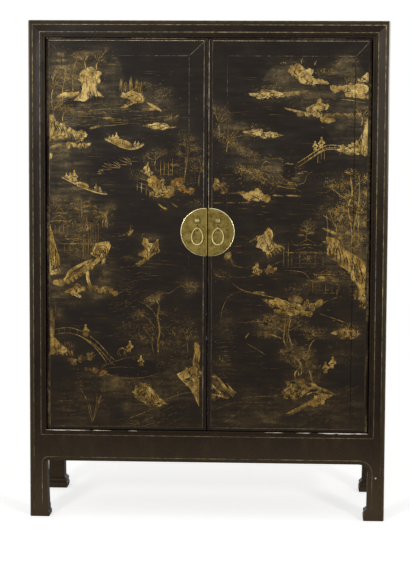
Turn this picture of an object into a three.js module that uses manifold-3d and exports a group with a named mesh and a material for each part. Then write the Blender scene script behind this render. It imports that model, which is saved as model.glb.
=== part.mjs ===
// Two-door lacquer cabinet: four square corner posts that run down into hoof feet, mitred top frame,
// shaped aprons, flush framed doors turning on wooden pivots, two shelves, and a round brass lock plate
// in two halves with padlock knuckles and hanging pulls.
// Millimetres. The front faces -Y, +X is to the right, +Z is up, and the floor is at z = 0.
import * as THREE from 'three';
import { mergeVertices } from 'three/addons/utils/BufferGeometryUtils.js';
import Module from 'manifold-3d';

const wasm = await Module();
wasm.setup();

// Driving dimensions of the carcass
const width = 1200;
const height = 1676;
const depth = 540;
const postSize = 56;
const railTop = 300.5;
const railBottom = 194;

// Moulding on the faces of posts and rails, as insets from the outer edge and sinks below the face
const arrisRadius = 6;
const beadFall = 1.6;
const firstLineInset = 14;
const secondLineInset = 38.3;
const ridgeWidth = 2.6;
const ridgeTop = 1.4;
const ridgeSink = 0.4;
const fieldSink = 1.2;
const fieldHollow = 0.5;
const lipSink = 2.6;
const scratchInset = 48.5;
const scratchWidth = 1.6;
const scratchDepth = 0.9;
const lipRound = 2;

// Lines cut along the apron and down the inner edge of each leg
const apronLineRise = 12.5;
const legLineInset = 41.5;
const cutLineWidth = 1.8;
const cutLineDepth = 1;
const lineFootHeight = 40;

// Feet: a hoof with a small scroll, and the worn foot at the front left
const legFlare = 2.5;
const wornLegFlare = 6.7;
const padHeight = 20;
const scrollRadius = 8;
const scrollReach = 68.5;
const toeReach = 69.6;
const toeRound = 4;
const scrollTopAngle = 70;
const scrollLowAngle = -50;
const wornPadHeight = 15;
const wornToeReach = 65.5;
const wornToeRound = 2;
const footRound = 5;

// Rounded brackets where the apron meets a leg, broken back at the front left
const bracketRadius = 30;
const wornBracketRadius = 7;
const shoulderDepth = 14;
const backRailHeight = 80;

// Joints between pieces
const jointGap = 0.3;
const overrun = 4;
const stopHeight = 9;
const stopGap = 2;

// Panels, floor and shelves
const panelThickness = 12;
const sidePanelSink = 8;
const backPanelSink = 10;
const topPanelSink = 4;
const topPanelThickness = 14;
const housing = 8;
const backStileWidth = 50;
const backStileDepth = 30;
const floorThickness = 14;
const shelfThickness = 16;
const shelfSetback = 62;
const shelfHeightShares = [0.33, 0.66];
const bearerWidth = 22;
const bearerHeight = 28;
const bearerSetback = 42;
const braceWidth = 40;
const braceHeight = 24;
const bracePlaceShare = 0.32;

// Doors
const doorSink = 6;
const doorThickness = 30;
const doorEdgeGap = 1.5;
const doorEndGap = 2;
const meetingGap = 3;
const hingeStileWidth = 54;
const meetingStileWidth = 62;
const doorRailWidth = 58;
const doorArris = 2.5;
const pivotInset = 16;
const pivotRadius = 8;
const pivotGap = 0.3;
const upperPivotLength = 16;
const lowerPivotLength = 11;
const doorPanelThickness = 14;
const tongueSink = 4;
const tongueThickness = 6;
const battenWidth = 36;
const battenThickness = 12;
const battenHeightShares = [0.3, 0.7];
const doorLineWidth = 1.6;
const doorLineDepth = 0.9;
const hingeLineInset = 11.5;
const meetingLineInset = 12.5;
const topLineInset = 8.4;
const bottomLineInset = 10;

// Brass lock plate and its fittings
const plateHeight = 974.5;
const plateRadius = 81;
const plateCentreOffset = 8.5;
const plateEdgeGap = 0.5;
const plateThickness = 1.6;
const rimWidth = 4;
const rimHeight = 3.4;
const fittingOffset = 34.5;
const knuckleWidth = 14;
const knuckleHeight = 20;
const knuckleReach = 16;
const knuckleRise = 39;
const padlockHoleRadius = 5;
const eyeWidth = 5;
const eyeHeight = 23;
const eyeHoleRadius = 3.4;
const eyeWall = 2.8;
const pullAxisRise = 13.5;
const pullAxisReach = 6.8;
const pullHalfWidth = 18.6;
const pullLength = 55;
const pullTopRadius = 2.2;
const pullBottomRadius = 3.6;
const pullEggShare = 0.14;
const nailRadius = 3.4;
const nailHeadHeight = 1.5;
const nailPlaceShares = [[0.47, 0.69], [0.78, 0], [0.22, -0.7]];

// Facets of round forms
const arcSteps = 6;
const smallArcSteps = 3;
const rimSteps = 5;
const plateSteps = 56;
const pinSteps = 32;
const pullSteps = 40;
const pullSideSteps = 10;
const nailSteps = 12;

// Places worked out from the sizes above
const hardwareReach = plateThickness + knuckleReach - doorSink;
const frontY = -(depth - hardwareReach) / 2;
const backY = frontY + depth;
const middleY = (frontY + backY) / 2;
const halfWidth = width / 2;
const openingHalf = halfWidth - postSize;
const openingTop = height - postSize;
const seamInset = secondLineInset - ridgeWidth / 2;
const doorFront = frontY + doorSink;
const doorBack = doorFront + doorThickness;
const stopFront = doorBack + stopGap;
const doorTop = openingTop - doorEndGap;
const doorBottom = railTop + doorEndGap;
const hingeEdge = openingHalf - doorEdgeGap;
const meetingEdge = meetingGap / 2;
const pivotX = hingeEdge - pivotInset;
const pivotY = doorFront + doorThickness / 2;
const backPanelFace = backY - backPanelSink - panelThickness;
const plateFace = doorFront - plateThickness;

// Finishes
function finish(colour, roughness, metalness) {
  return new THREE.MeshStandardMaterial({ color: colour, roughness, metalness });
}
const finishes = {
  frame: finish(0x2a2520, 0.42, 0),
  door: finish(0x28231f, 0.38, 0),
  inner: finish(0x3a2c20, 0.7, 0),
  brass: finish(0x8d8045, 0.4, 1),
  wornBrass: finish(0xa89a5c, 0.32, 1)
};

// Solids and their joins and cuts
function toSolid(geometry) {
  const bare = new THREE.BufferGeometry();
  bare.setAttribute('position', geometry.getAttribute('position'));
  bare.setIndex(geometry.getIndex());
  const merged = mergeVertices(bare);
  const vertProperties = new Float32Array(merged.getAttribute('position').array);
  const triVerts = new Uint32Array(merged.getIndex().array);
  return new wasm.Manifold(new wasm.Mesh({ numProp: 3, vertProperties, triVerts }));
}

function toGeometry(solid) {
  const mesh = solid.getMesh();
  const geometry = new THREE.BufferGeometry();
  geometry.setAttribute('position', new THREE.BufferAttribute(new Float32Array(mesh.vertProperties), 3));
  geometry.setIndex(new THREE.BufferAttribute(new Uint32Array(mesh.triVerts), 1));
  return geometry;
}

const join = (first, ...others) => others.reduce((sum, solid) => sum.add(solid), first);
const cut = (first, ...others) => others.reduce((rest, solid) => rest.subtract(solid), first);
const common = (first, ...others) => others.reduce((shared, solid) => shared.intersect(solid), first);

// The two directions of an outline and the direction it is extruded in, for each axis
const outlineAxes = {
  x: [new THREE.Vector3(0, 1, 0), new THREE.Vector3(0, 0, 1), new THREE.Vector3(1, 0, 0)],
  y: [new THREE.Vector3(1, 0, 0), new THREE.Vector3(0, 0, 1), new THREE.Vector3(0, -1, 0)],
  z: [new THREE.Vector3(1, 0, 0), new THREE.Vector3(0, 1, 0), new THREE.Vector3(0, 0, 1)]
};

// An outline in the plane across an axis, carried along that axis from one place to another
function prism(outline, axis, from, to, holes = []) {
  const points = outline.map(([u, v]) => new THREE.Vector2(u, v));
  if (THREE.ShapeUtils.isClockWise(points)) points.reverse();
  const shape = new THREE.Shape(points);
  for (const hole of holes) {
    shape.holes.push(new THREE.Path(hole.map(([u, v]) => new THREE.Vector2(u, v))));
  }
  const geometry = new THREE.ExtrudeGeometry(shape, { depth: to - from, bevelEnabled: false, steps: 1 });
  geometry.applyMatrix4(new THREE.Matrix4().makeBasis(...outlineAxes[axis]));
  const start = new THREE.Vector3();
  start[axis] = axis === 'y' ? to : from;
  geometry.translate(start.x, start.y, start.z);
  return toSolid(geometry);
}

// A plain board given by its two corners, grown on every side by a clearance
function board([x0, y0, z0], [x1, y1, z1], grow = 0) {
  const low = [Math.min(x0, x1) - grow, Math.min(y0, y1) - grow, Math.min(z0, z1) - grow];
  const high = [Math.max(x0, x1) + grow, Math.max(y0, y1) + grow, Math.max(z0, z1) + grow];
  const geometry = new THREE.BoxGeometry(high[0] - low[0], high[1] - low[1], high[2] - low[2]);
  geometry.translate((low[0] + high[0]) / 2, (low[1] + high[1]) / 2, (low[2] + high[2]) / 2);
  return toSolid(geometry);
}

// An upright round pin
function uprightPin(x, y, z0, z1, radius) {
  const geometry = new THREE.CylinderGeometry(radius, radius, z1 - z0, pinSteps);
  geometry.rotateX(Math.PI / 2);
  geometry.translate(x, y, (z0 + z1) / 2);
  return toSolid(geometry);
}

// Points of a circle's arc, angles in degrees
function arc(centreU, centreV, radius, fromAngle, toAngle, steps = arcSteps) {
  return Array.from({ length: steps + 1 }, (_, i) => {
    const angle = THREE.MathUtils.degToRad(fromAngle + ((toAngle - fromAngle) * i) / steps);
    return [centreU + radius * Math.cos(angle), centreV + radius * Math.sin(angle)];
  });
}

// Points along a face as [inset from the outer edge, sink below the face]: the rounded outer bead, the
// first ridge and the shallow hollow field
const beadEnd = firstLineInset - ridgeWidth / 2;
const outerProfile = [
  ...Array.from({ length: smallArcSteps + 1 }, (_, i) => {
    const share = i / smallArcSteps;
    const fall = 1 - Math.cos((share * Math.PI) / 2);
    return [arrisRadius + (beadEnd - arrisRadius) * share, beadFall * fall];
  }),
  [firstLineInset - ridgeTop / 2, ridgeSink],
  [firstLineInset + ridgeTop / 2, ridgeSink],
  [firstLineInset + ridgeWidth / 2, fieldSink],
  [(firstLineInset + secondLineInset) / 2, fieldSink + fieldHollow],
  [seamInset, fieldSink]
];

// The rest of the face beside a door: the second ridge, the sunk band with its scratched line, and the
// rounded lip
const innerProfile = [
  [secondLineInset - ridgeTop / 2, ridgeSink],
  [secondLineInset + ridgeTop / 2, ridgeSink],
  [secondLineInset + ridgeWidth / 2, lipSink],
  [scratchInset - scratchWidth / 2, lipSink],
  [scratchInset, lipSink + scratchDepth],
  [scratchInset + scratchWidth / 2, lipSink],
  ...arc(postSize - lipRound, lipSink + lipRound, lipRound, -90, 0, smallArcSteps)
];

const mouldedFace = [...outerProfile, ...innerProfile];
const plainFace = [[arrisRadius, 0], [postSize, 0]];
const legFace = [...outerProfile, [toeReach + overrun, fieldSink]];
const plainLegFace = [[arrisRadius, 0], [toeReach + overrun, 0]];

// Section of a corner piece from the profiles of its two faces, as [inset from one, inset from other]
function cornerSection(firstFace, secondFace) {
  const reachFirst = firstFace[firstFace.length - 1][0];
  const reachSecond = secondFace[secondFace.length - 1][0];
  return [
    ...firstFace.toReversed().map(([inset, sink]) => [inset, sink]),
    ...arc(arrisRadius, arrisRadius, arrisRadius, 270, 180).slice(1, -1),
    ...secondFace.map(([inset, sink]) => [sink, inset]),
    [reachFirst, reachSecond]
  ];
}

// Places on the carcass: side is -1 at the left and 1 at the right, end is -1 at the front and 1 behind
const atX = (side, inset) => side * (halfWidth - inset);
const atY = (end, inset) => (end < 0 ? frontY + inset : backY - inset);

// How wide a leg is at a height, below the rails
const legWidthAt = (z, flare) => postSize + flare * (1 - z / railBottom);

// Inner edge of a leg from the rail down to the floor, as [inset, height]
function hoofEdge() {
  const scrollCentre = [scrollReach - scrollRadius, padHeight + scrollRadius];
  const scrollTop = scrollCentre[1] + scrollRadius + footRound;
  return [
    [postSize, railBottom],
    [legWidthAt(scrollTop, legFlare), scrollTop],
    ...arc(...scrollCentre, scrollRadius, scrollTopAngle, scrollLowAngle),
    ...arc(toeReach - toeRound, padHeight - toeRound, toeRound, 60, 0, smallArcSteps),
    ...arc(toeReach - toeRound, toeRound, toeRound, 0, -90, smallArcSteps)
  ];
}

function wornEdge() {
  return [
    [postSize, railBottom],
    [legWidthAt(wornPadHeight + wornToeRound, wornLegFlare), wornPadHeight + wornToeRound],
    [wornToeReach, wornPadHeight - wornToeRound],
    [wornToeReach, wornToeRound],
    [wornToeReach - wornToeRound, 0]
  ];
}

// Whole silhouette of a leg, up to a height inside the rail's joint
function legSilhouette(edge, upTo) {
  return [
    [postSize, upTo],
    ...edge,
    ...arc(footRound, footRound, footRound, 270, 180, smallArcSteps),
    [-overrun, footRound],
    [-overrun, upTo]
  ];
}

// Silhouette of a post above the leg: its top is mitred to the rail beside it
function mitreSilhouette(from) {
  const drop = jointGap / Math.SQRT2;
  return [
    [-overrun, height + overrun - drop],
    [postSize + overrun, height - postSize - overrun - drop],
    [postSize + overrun, from],
    [-overrun, from]
  ];
}

// Half of the line that is cut up a leg, round the corner and along the apron, as points along a face
// from its middle; sign is the end it starts from
function cutLine(sign, halfLength, cornerRadius) {
  const radius = cornerRadius + apronLineRise;
  const lineZ = railBottom + apronLineRise;
  const offsets = [-cutLineWidth / 2, cutLineWidth / 2];
  const [outer, inner] = offsets.map((offset) => [
    [legLineInset + offset, lineFootHeight],
    ...arc(legLineInset + radius, lineZ - radius, radius - offset, 180, 90),
    [halfLength + overrun, lineZ - offset]
  ]);
  return [...outer, ...inner.toReversed()].map(([inset, z]) => [sign * (halfLength - inset), z]);
}

// Outline of the shoulder of a rail that is let into the face of a post, as [inset, height]
function shoulder(grow) {
  const lift = grow * Math.SQRT2;
  const lap = postSize - seamInset + grow;
  const lowSlope = apronLineRise / (postSize - legLineInset);
  return [
    [postSize + overrun, railTop + lift + overrun],
    [seamInset - grow, railTop + lift - lap],
    [seamInset - grow, railBottom - lift + lap * lowSlope],
    [postSize + overrun, railBottom - lift - overrun * lowSlope]
  ];
}

// Boards that are let into the posts and rails around them
const sidePanelCorners = (side) => [
  [atX(side, sidePanelSink), atY(-1, postSize - housing), railTop - housing],
  [atX(side, sidePanelSink + panelThickness), atY(1, postSize - housing), openingTop + housing]
];
const topTongueCorners = [
  [atX(-1, postSize - housing), atY(-1, postSize - housing), height - topPanelSink - tongueSink],
  [atX(1, postSize - housing), atY(1, postSize - housing), height - topPanelSink - tongueSink - tongueThickness]
];
const backPanelCorners = (side) => [
  [atX(side, postSize - housing), backPanelFace, railTop - housing],
  [side * (backStileWidth / 2 - housing), backPanelFace + panelThickness, openingTop + housing]
];
const floorTop = railTop;
const floorEdge = postSize - housing;
const floorCorners = [
  [atX(-1, floorEdge), atY(-1, floorEdge), floorTop - floorThickness],
  [atX(1, floorEdge), atY(1, floorEdge), floorTop]
];
const backStileCorners = [
  [-backStileWidth / 2, backY - backPanelSink / 2 - backStileDepth, railTop - housing],
  [backStileWidth / 2, backY - backPanelSink / 2, openingTop + housing]
];

// A corner post with its leg and foot
function post(side, end) {
  const front = end < 0;
  const worn = front && side < 0;
  const seamZ = (railTop + railBottom) / 2;
  const endFace = front ? mouldedFace : plainFace;
  const place = ([a, b]) => [atX(side, a), atY(end, b)];
  const acrossX = ([inset, z]) => [atX(side, inset), z];
  const acrossY = ([inset, z]) => [atY(end, inset), z];
  const yRange = [frontY - overrun, backY + overrun];
  const xRange = [-halfWidth - overrun, halfWidth + overrun];

  const shaft = common(
    prism(cornerSection(endFace, mouldedFace).map(place), 'z', seamZ - overrun, height + overrun),
    prism(mitreSilhouette(seamZ - 2 * overrun).map(acrossX), 'y', ...yRange),
    prism(mitreSilhouette(seamZ - 2 * overrun).map(acrossY), 'x', ...xRange)
  );
  const leg = common(
    prism(cornerSection(front ? legFace : plainLegFace, legFace).map(place), 'z', 0, seamZ),
    prism(legSilhouette(worn ? wornEdge() : hoofEdge(), seamZ).map(acrossX), 'y', ...yRange),
    prism(legSilhouette(hoofEdge(), seamZ).map(acrossY), 'x', ...xRange)
  );

  const recess = shoulder(jointGap);
  const sideFace = [atX(side, -overrun), atX(side, shoulderDepth + jointGap)].sort((a, b) => a - b);
  const sideGroove = [atX(side, -overrun), atX(side, fieldSink + cutLineDepth)].sort((a, b) => a - b);
  const sideLine = cutLine(end, depth / 2, bracketRadius).map(([u, z]) => [middleY + u, z]);
  let piece = cut(
    join(shaft, leg),
    board(...sidePanelCorners(side), jointGap),
    prism(recess.map(acrossY), 'x', ...sideFace),
    prism(sideLine, 'x', ...sideGroove)
  );
  if (front) {
    const radius = worn ? wornBracketRadius : bracketRadius;
    piece = cut(
      piece,
      prism(recess.map(acrossX), 'y', frontY - overrun, frontY + shoulderDepth + jointGap),
      prism(cutLine(side, halfWidth, radius), 'y', frontY - overrun, frontY + fieldSink + cutLineDepth)
    );
  } else {
    piece = cut(piece, board(...backPanelCorners(side), jointGap));
  }
  return piece;
}

// Outline of a mitred rail of the top frame, seen along the face that holds both mitres: its outer edge
// is at inset 0 and its ends follow the diagonals of the corners
function mitredEnds(halfLength) {
  const shift = jointGap / Math.SQRT2;
  const inner = postSize + overrun;
  return [
    [-halfLength - overrun + shift, -overrun],
    [halfLength + overrun - shift, -overrun],
    [halfLength - inner - shift, inner],
    [-halfLength + inner + shift, inner]
  ];
}

// A rail of the top frame: its section runs along the edge, and each end is mitred to the post below
// and to the rail beside it. Behind the front one is a lip that the doors stop against.
function topFrontRail() {
  const section = cornerSection(plainFace, mouldedFace).map(([c, b]) => [frontY + c, height - b]);
  const frontView = mitredEnds(halfWidth).map(([u, inset]) => [u, height - inset]);
  const topView = mitredEnds(halfWidth).map(([u, inset]) => [u, frontY + inset]);
  const rail = common(
    prism(section, 'x', -halfWidth - overrun, halfWidth + overrun),
    prism(frontView, 'y', frontY - overrun, frontY + postSize + overrun),
    prism(topView, 'z', height - postSize - overrun, height + overrun)
  );
  const stop = board(
    [-openingHalf + jointGap, stopFront, openingTop - stopHeight],
    [openingHalf - jointGap, frontY + postSize, openingTop + overrun]
  );
  const sockets = [-1, 1].map((side) =>
    uprightPin(side * pivotX, pivotY, openingTop - overrun, doorTop + upperPivotLength + doorEndGap,
      pivotRadius + pivotGap));
  return cut(join(rail, stop), ...sockets, board(...topTongueCorners, jointGap));
}

function topBackRail() {
  const section = cornerSection(plainFace, plainFace).map(([c, b]) => [backY - c, height - b]);
  const backView = mitredEnds(halfWidth).map(([u, inset]) => [u, height - inset]);
  const topView = mitredEnds(halfWidth).map(([u, inset]) => [u, backY - inset]);
  const rail = common(
    prism(section, 'x', -halfWidth - overrun, halfWidth + overrun),
    prism(backView, 'y', backY - postSize - overrun, backY + overrun),
    prism(topView, 'z', height - postSize - overrun, height + overrun)
  );
  return cut(
    rail,
    board(...topTongueCorners, jointGap),
    ...[-1, 1].map((side) => board(...backPanelCorners(side), jointGap)),
    board(...backStileCorners, jointGap)
  );
}

function topSideRail(side) {
  const section = cornerSection(plainFace, mouldedFace).map(([c, b]) => [atX(side, c), height - b]);
  const sideView = mitredEnds(depth / 2).map(([u, inset]) => [middleY + u, height - inset]);
  const topView = mitredEnds(depth / 2).map(([u, inset]) => [atX(side, inset), middleY + u]);
  const xRange = [atX(side, -overrun), atX(side, postSize + overrun)].sort((a, b) => a - b);
  const rail = common(
    prism(section, 'y', frontY - overrun, backY + overrun),
    prism(sideView, 'x', ...xRange),
    prism(topView, 'z', height - postSize - overrun, height + overrun)
  );
  return cut(rail, board(...topTongueCorners, jointGap), board(...sidePanelCorners(side), jointGap));
}

// Face of a lower rail as [height, sink]: the field, the ridge under the doors and the lip
const lowerRailFace = [
  [railBottom, fieldSink],
  ...[[seamInset, fieldSink], ...innerProfile].map(([inset, sink]) => [railTop - postSize + inset, sink])
];

// A lower rail seen from its face, with mitred shoulders at both ends and the brackets under them
function apronOutline(halfLength, radii, flares) {
  const half = (sign, radius, flare) => {
    const start = legWidthAt(railBottom - radius, flare) + jointGap;
    const end = shoulder(0);
    return [
      [postSize, railTop],
      end[1],
      end[2],
      [postSize, railBottom],
      [start, railBottom],
      ...arc(start + radius, railBottom - radius, radius, 180, 90)
    ].map(([inset, z]) => [sign * (halfLength - inset), z]);
  };
  return [...half(-1, radii[0], flares[0]), ...half(1, radii[1], flares[1]).toReversed()];
}

// A lower rail with shaped apron in a face frame: u runs along the face, v into the cabinet
function apronRail(halfLength, radii, flares, axis, toFace) {
  const bodyHalf = halfLength - postSize - jointGap;
  const across = axis === 'y' ? 'x' : 'y';
  const deepest = Math.max(...radii) + overrun;
  const along = (from, to) => (axis === 'y' ? [from, to] : [middleY + from, middleY + to]);
  const faceRange = (from, to) => [toFace(from), toFace(to)].sort((a, b) => a - b);
  const flat = (outline) => outline.map(([u, z]) => [axis === 'y' ? u : middleY + u, z]);
  const deep = [...lowerRailFace, [railTop, postSize], [railBottom, postSize]];
  const shallow = [
    [railBottom - deepest, fieldSink],
    ...lowerRailFace,
    [railTop, shoulderDepth],
    [railBottom - deepest, shoulderDepth]
  ];
  const section = (points) => points.map(([z, sink]) => [toFace(sink), z]);
  const body = prism(section(deep), across, ...along(-bodyHalf, bodyHalf));
  const face = common(
    prism(section(shallow), across, ...along(-halfLength, halfLength)),
    prism(flat(apronOutline(halfLength, radii, flares)), axis, ...faceRange(-overrun, postSize))
  );
  const grooveRange = faceRange(-overrun, fieldSink + cutLineDepth);
  const lines = [-1, 1].map((sign, i) =>
    prism(flat(cutLine(sign, halfLength, radii[i])), axis, ...grooveRange));
  return cut(join(body, face), ...lines, board(...floorCorners, jointGap));
}

function frontApronRail() {
  const toFace = (sink) => frontY + sink;
  const radii = [wornBracketRadius, bracketRadius];
  const rail = apronRail(halfWidth, radii, [wornLegFlare, legFlare], 'y', toFace);
  const stop = board(
    [-openingHalf + jointGap, stopFront, railTop - overrun],
    [openingHalf - jointGap, frontY + postSize - housing - overrun, railTop + stopHeight]
  );
  const socketFloor = doorBottom - lowerPivotLength - pivotGap;
  const sockets = [-1, 1].map((side) =>
    uprightPin(side * pivotX, pivotY, socketFloor, railTop + overrun, pivotRadius + pivotGap));
  return cut(join(rail, stop), ...sockets);
}

function sideApronRail(side) {
  const toFace = (sink) => atX(side, sink);
  const radii = [bracketRadius, bracketRadius];
  const rail = apronRail(depth / 2, radii, [legFlare, legFlare], 'x', toFace);
  const [low, high] = sidePanelCorners(side);
  const groove = board([low[0], frontY, low[2]], [high[0], backY, high[2]], jointGap);
  return cut(rail, groove);
}

function backLowerRail() {
  const rail = board(
    [-openingHalf + jointGap, backY - postSize, railTop - backRailHeight],
    [openingHalf - jointGap, backY - jointGap, railTop]
  );
  return cut(
    rail,
    board(...floorCorners, jointGap),
    ...[-1, 1].map((side) => board(...backPanelCorners(side), jointGap)),
    board(...backStileCorners, jointGap)
  );
}

// The top panel fills the frame and is held by a tongue all round
function topPanel() {
  const inset = postSize + jointGap;
  const field = board(
    [atX(-1, inset), atY(-1, inset), height - topPanelSink],
    [atX(1, inset), atY(1, inset), height - topPanelSink - topPanelThickness]
  );
  return join(field, board(...topTongueCorners));
}

// The floor lies in rebates of the lower rails and is notched round the four posts
function floorBoard() {
  const clear = postSize + jointGap;
  const notch = [[clear, floorEdge], [clear, clear], [floorEdge, clear]];
  const right = [
    ...notch.map(([a, b]) => [atX(1, a), atY(-1, b)]),
    ...notch.toReversed().map(([a, b]) => [atX(1, a), atY(1, b)])
  ];
  const outline = [...right, ...right.toReversed().map(([x, y]) => [-x, y])];
  return prism(outline, 'z', floorTop - floorThickness, floorTop);
}

function backStile() {
  return cut(
    board(...backStileCorners),
    ...[-1, 1].map((side) => board(...backPanelCorners(side), jointGap))
  );
}

// The braces under the top and the battens under the floor run from front to back between the rails
function crossPieces() {
  const y0 = frontY + postSize;
  const y1 = backY - postSize;
  const braceTop = height - topPanelSink - topPanelThickness;
  const battenTop = floorTop - floorThickness;
  return [-1, 1].map((side) => {
    const x0 = side * (bracePlaceShare * openingHalf) - braceWidth / 2;
    const x1 = x0 + braceWidth;
    return {
      brace: board([x0, y0, braceTop - braceHeight], [x1, y1, braceTop]),
      batten: board([x0, y0, battenTop - braceHeight], [x1, y1, battenTop])
    };
  });
}

// A shelf fills the plan inside the panels and is notched round the four posts
function shelf(top) {
  const sideReach = halfWidth - sidePanelSink - panelThickness - jointGap;
  const postReach = openingHalf - jointGap;
  const corners = [
    [postReach, frontY + shelfSetback],
    [sideReach, frontY + shelfSetback],
    [sideReach, backY - postSize - jointGap],
    [postReach, backY - postSize - jointGap],
    [postReach, backPanelFace - jointGap]
  ];
  const outline = [...corners, ...corners.toReversed().map(([x, y]) => [-x, y])];
  const plain = prism(outline, 'z', top - shelfThickness, top);
  return cut(plain, board(...backStileCorners, jointGap));
}

function bearer(side, top) {
  return board(
    [side * openingHalf, frontY + bearerSetback, top - bearerHeight],
    [side * (openingHalf - bearerWidth), backPanelFace - jointGap, top]
  );
}

// A door's own places: along x from the hinge edge to the meeting edge of one side
const doorX = (side, fromHinge) => side * (hingeEdge - fromHinge);
const doorWidth = hingeEdge - meetingEdge;
const meetX = (side, fromMeeting) => side * (meetingEdge + fromMeeting);

const doorPanelCorners = (side, reach) => [
  [doorX(side, hingeStileWidth - reach), doorBottom + doorRailWidth - reach],
  [meetX(side, meetingStileWidth - reach), doorTop - doorRailWidth + reach]
];

function doorTongue(side, grow) {
  const [[x0, z0], [x1, z1]] = doorPanelCorners(side, housing);
  const tongueFront = doorFront + tongueSink;
  return board([x0, tongueFront, z0], [x1, tongueFront + tongueThickness, z1], grow);
}

function doorPanel(side) {
  const [[x0, z0], [x1, z1]] = doorPanelCorners(side, -jointGap);
  return join(board([x0, doorFront, z0], [x1, doorFront + doorPanelThickness, z1]), doorTongue(side, 0));
}

function doorBatten(side, share, grow) {
  const z = doorBottom + share * (doorTop - doorBottom);
  const y0 = doorFront + doorPanelThickness;
  return board(
    [doorX(side, hingeStileWidth - housing), y0, z - battenWidth / 2],
    [meetX(side, meetingStileWidth - housing), y0 + battenThickness, z + battenWidth / 2],
    grow
  );
}

// The line cut round the face of a door
function doorLine(side) {
  const ring = (grow) => {
    const x0 = doorX(side, hingeLineInset - grow);
    const x1 = meetX(side, meetingLineInset - grow);
    const z0 = doorBottom + bottomLineInset - grow;
    const z1 = doorTop - topLineInset + grow;
    return [[x0, z0], [x1, z0], [x1, z1], [x0, z1]];
  };
  const half = doorLineWidth / 2;
  return prism(ring(half), 'y', doorFront - overrun, doorFront + doorLineDepth, [ring(-half)]);
}

// Housings that the panel and the battens take in the frame of a door
const doorHousings = (side) => [
  doorTongue(side, jointGap),
  ...battenHeightShares.map((share) => doorBatten(side, share, jointGap)),
  doorLine(side)
];

// The whole door as one slab: its hinge edge is round about the pivots' axis, its other front edges are
// softened, and the members of its frame are cut from it
function doorSlab(side) {
  const roundAngle = THREE.MathUtils.radToDeg(Math.asin(doorThickness / 2 / pivotInset));
  const softEdge = doorFront + doorArris;
  const plan = [
    ...arc(pivotX, pivotY, pivotInset, roundAngle, -roundAngle),
    ...arc(meetingEdge + doorArris, softEdge, doorArris, 270, 180, smallArcSteps),
    [meetingEdge, doorBack]
  ].map(([x, y]) => [side * x, y]);
  const section = [
    [doorBack, doorTop],
    ...arc(softEdge, doorTop - doorArris, doorArris, 90, 180, smallArcSteps),
    ...arc(softEdge, doorBottom + doorArris, doorArris, 180, 270, smallArcSteps),
    [doorBack, doorBottom]
  ];
  const span = [side * meetingEdge, side * hingeEdge].sort((a, b) => a - b);
  return common(prism(plan, 'z', doorBottom, doorTop), prism(section, 'x', ...span));
}

// A round pin on which the hinge stile turns, at its top or bottom end
function pivotPin(side, up, grow) {
  const inner = up > 0 ? doorTop - doorRailWidth / 2 : doorBottom + doorRailWidth / 2;
  const outer = up > 0 ? doorTop + upperPivotLength : doorBottom - lowerPivotLength;
  return uprightPin(side * pivotX, pivotY, Math.min(inner, outer) - grow, Math.max(inner, outer) + grow,
    pivotRadius + grow);
}

// A stile of a door: its ends are cut back along the mitres
function doorStile(side, atPlace, stileWidth) {
  const face = [
    [atPlace(side, 0), doorTop],
    [atPlace(side, stileWidth), doorTop - doorRailWidth],
    [atPlace(side, stileWidth), doorBottom + doorRailWidth],
    [atPlace(side, 0), doorBottom]
  ];
  const blank = common(doorSlab(side), prism(face, 'y', doorFront - overrun, doorBack + overrun));
  return cut(blank, ...doorHousings(side));
}

const hingeStile = (side) =>
  join(doorStile(side, doorX, hingeStileWidth), pivotPin(side, 1, 0), pivotPin(side, -1, 0));

const meetingStile = (side) => doorStile(side, meetX, meetingStileWidth);

// Top and bottom rails of a door are mitred to the stiles; up is 1 for the top rail
function doorRail(side, up) {
  const edge = up > 0 ? doorTop : doorBottom;
  const gap = jointGap * Math.SQRT2;
  const face = [
    [doorX(side, gap), edge],
    [doorX(side, hingeStileWidth + gap), edge - up * doorRailWidth],
    [meetX(side, meetingStileWidth + gap), edge - up * doorRailWidth],
    [meetX(side, gap), edge]
  ];
  const blank = common(doorSlab(side), prism(face, 'y', doorFront - overrun, doorBack + overrun));
  return cut(blank, ...doorHousings(side), pivotPin(side, up, jointGap));
}

// Half of the round lock plate: a disc with a rounded rim, cut straight at the meeting edge
function lockPlate(side) {
  const rimMiddle = plateRadius - rimWidth / 2;
  const profile = [
    [0, 0],
    [plateRadius, 0],
    ...arc(rimMiddle, rimHeight - rimWidth / 2, rimWidth / 2, 0, 180, rimSteps),
    [plateRadius - rimWidth, plateThickness],
    [0, plateThickness]
  ].map(([radius, rise]) => new THREE.Vector2(radius, rise));
  const disc = new THREE.LatheGeometry(profile, plateSteps);
  disc.rotateX(Math.PI);
  disc.translate(side * (meetingEdge + plateCentreOffset), doorFront, plateHeight);
  const reach = plateRadius + overrun;
  const half = board(
    [side * (meetingEdge + plateEdgeGap), doorFront - rimHeight - overrun, plateHeight - reach],
    [side * (meetingEdge + plateCentreOffset + reach), doorFront + overrun, plateHeight + reach]
  );
  return common(toSolid(disc), half);
}

// A loop that stands out of the plate, pierced sideways: a flat foot on the plate, a round nose
function loop(x, z, loopWidth, loopHeight, nose, reach, hole, holeReach) {
  const noseY = plateFace - reach + nose;
  const outline = [
    [plateFace, z - loopHeight / 2],
    ...arc(noseY, z, nose, 270, 90, 2 * arcSteps),
    [plateFace, z + loopHeight / 2]
  ];
  const holeOutline = arc(plateFace - holeReach, z, hole, 0, 360, 4 * arcSteps).slice(0, -1);
  return prism(outline, 'x', x - loopWidth / 2, x + loopWidth / 2, [holeOutline]);
}

function lockKnuckle(side) {
  const nose = knuckleHeight / 2;
  return loop(side * fittingOffset, plateHeight + knuckleRise, knuckleWidth, knuckleHeight, nose,
    knuckleReach, padlockHoleRadius, knuckleReach - nose);
}

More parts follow.
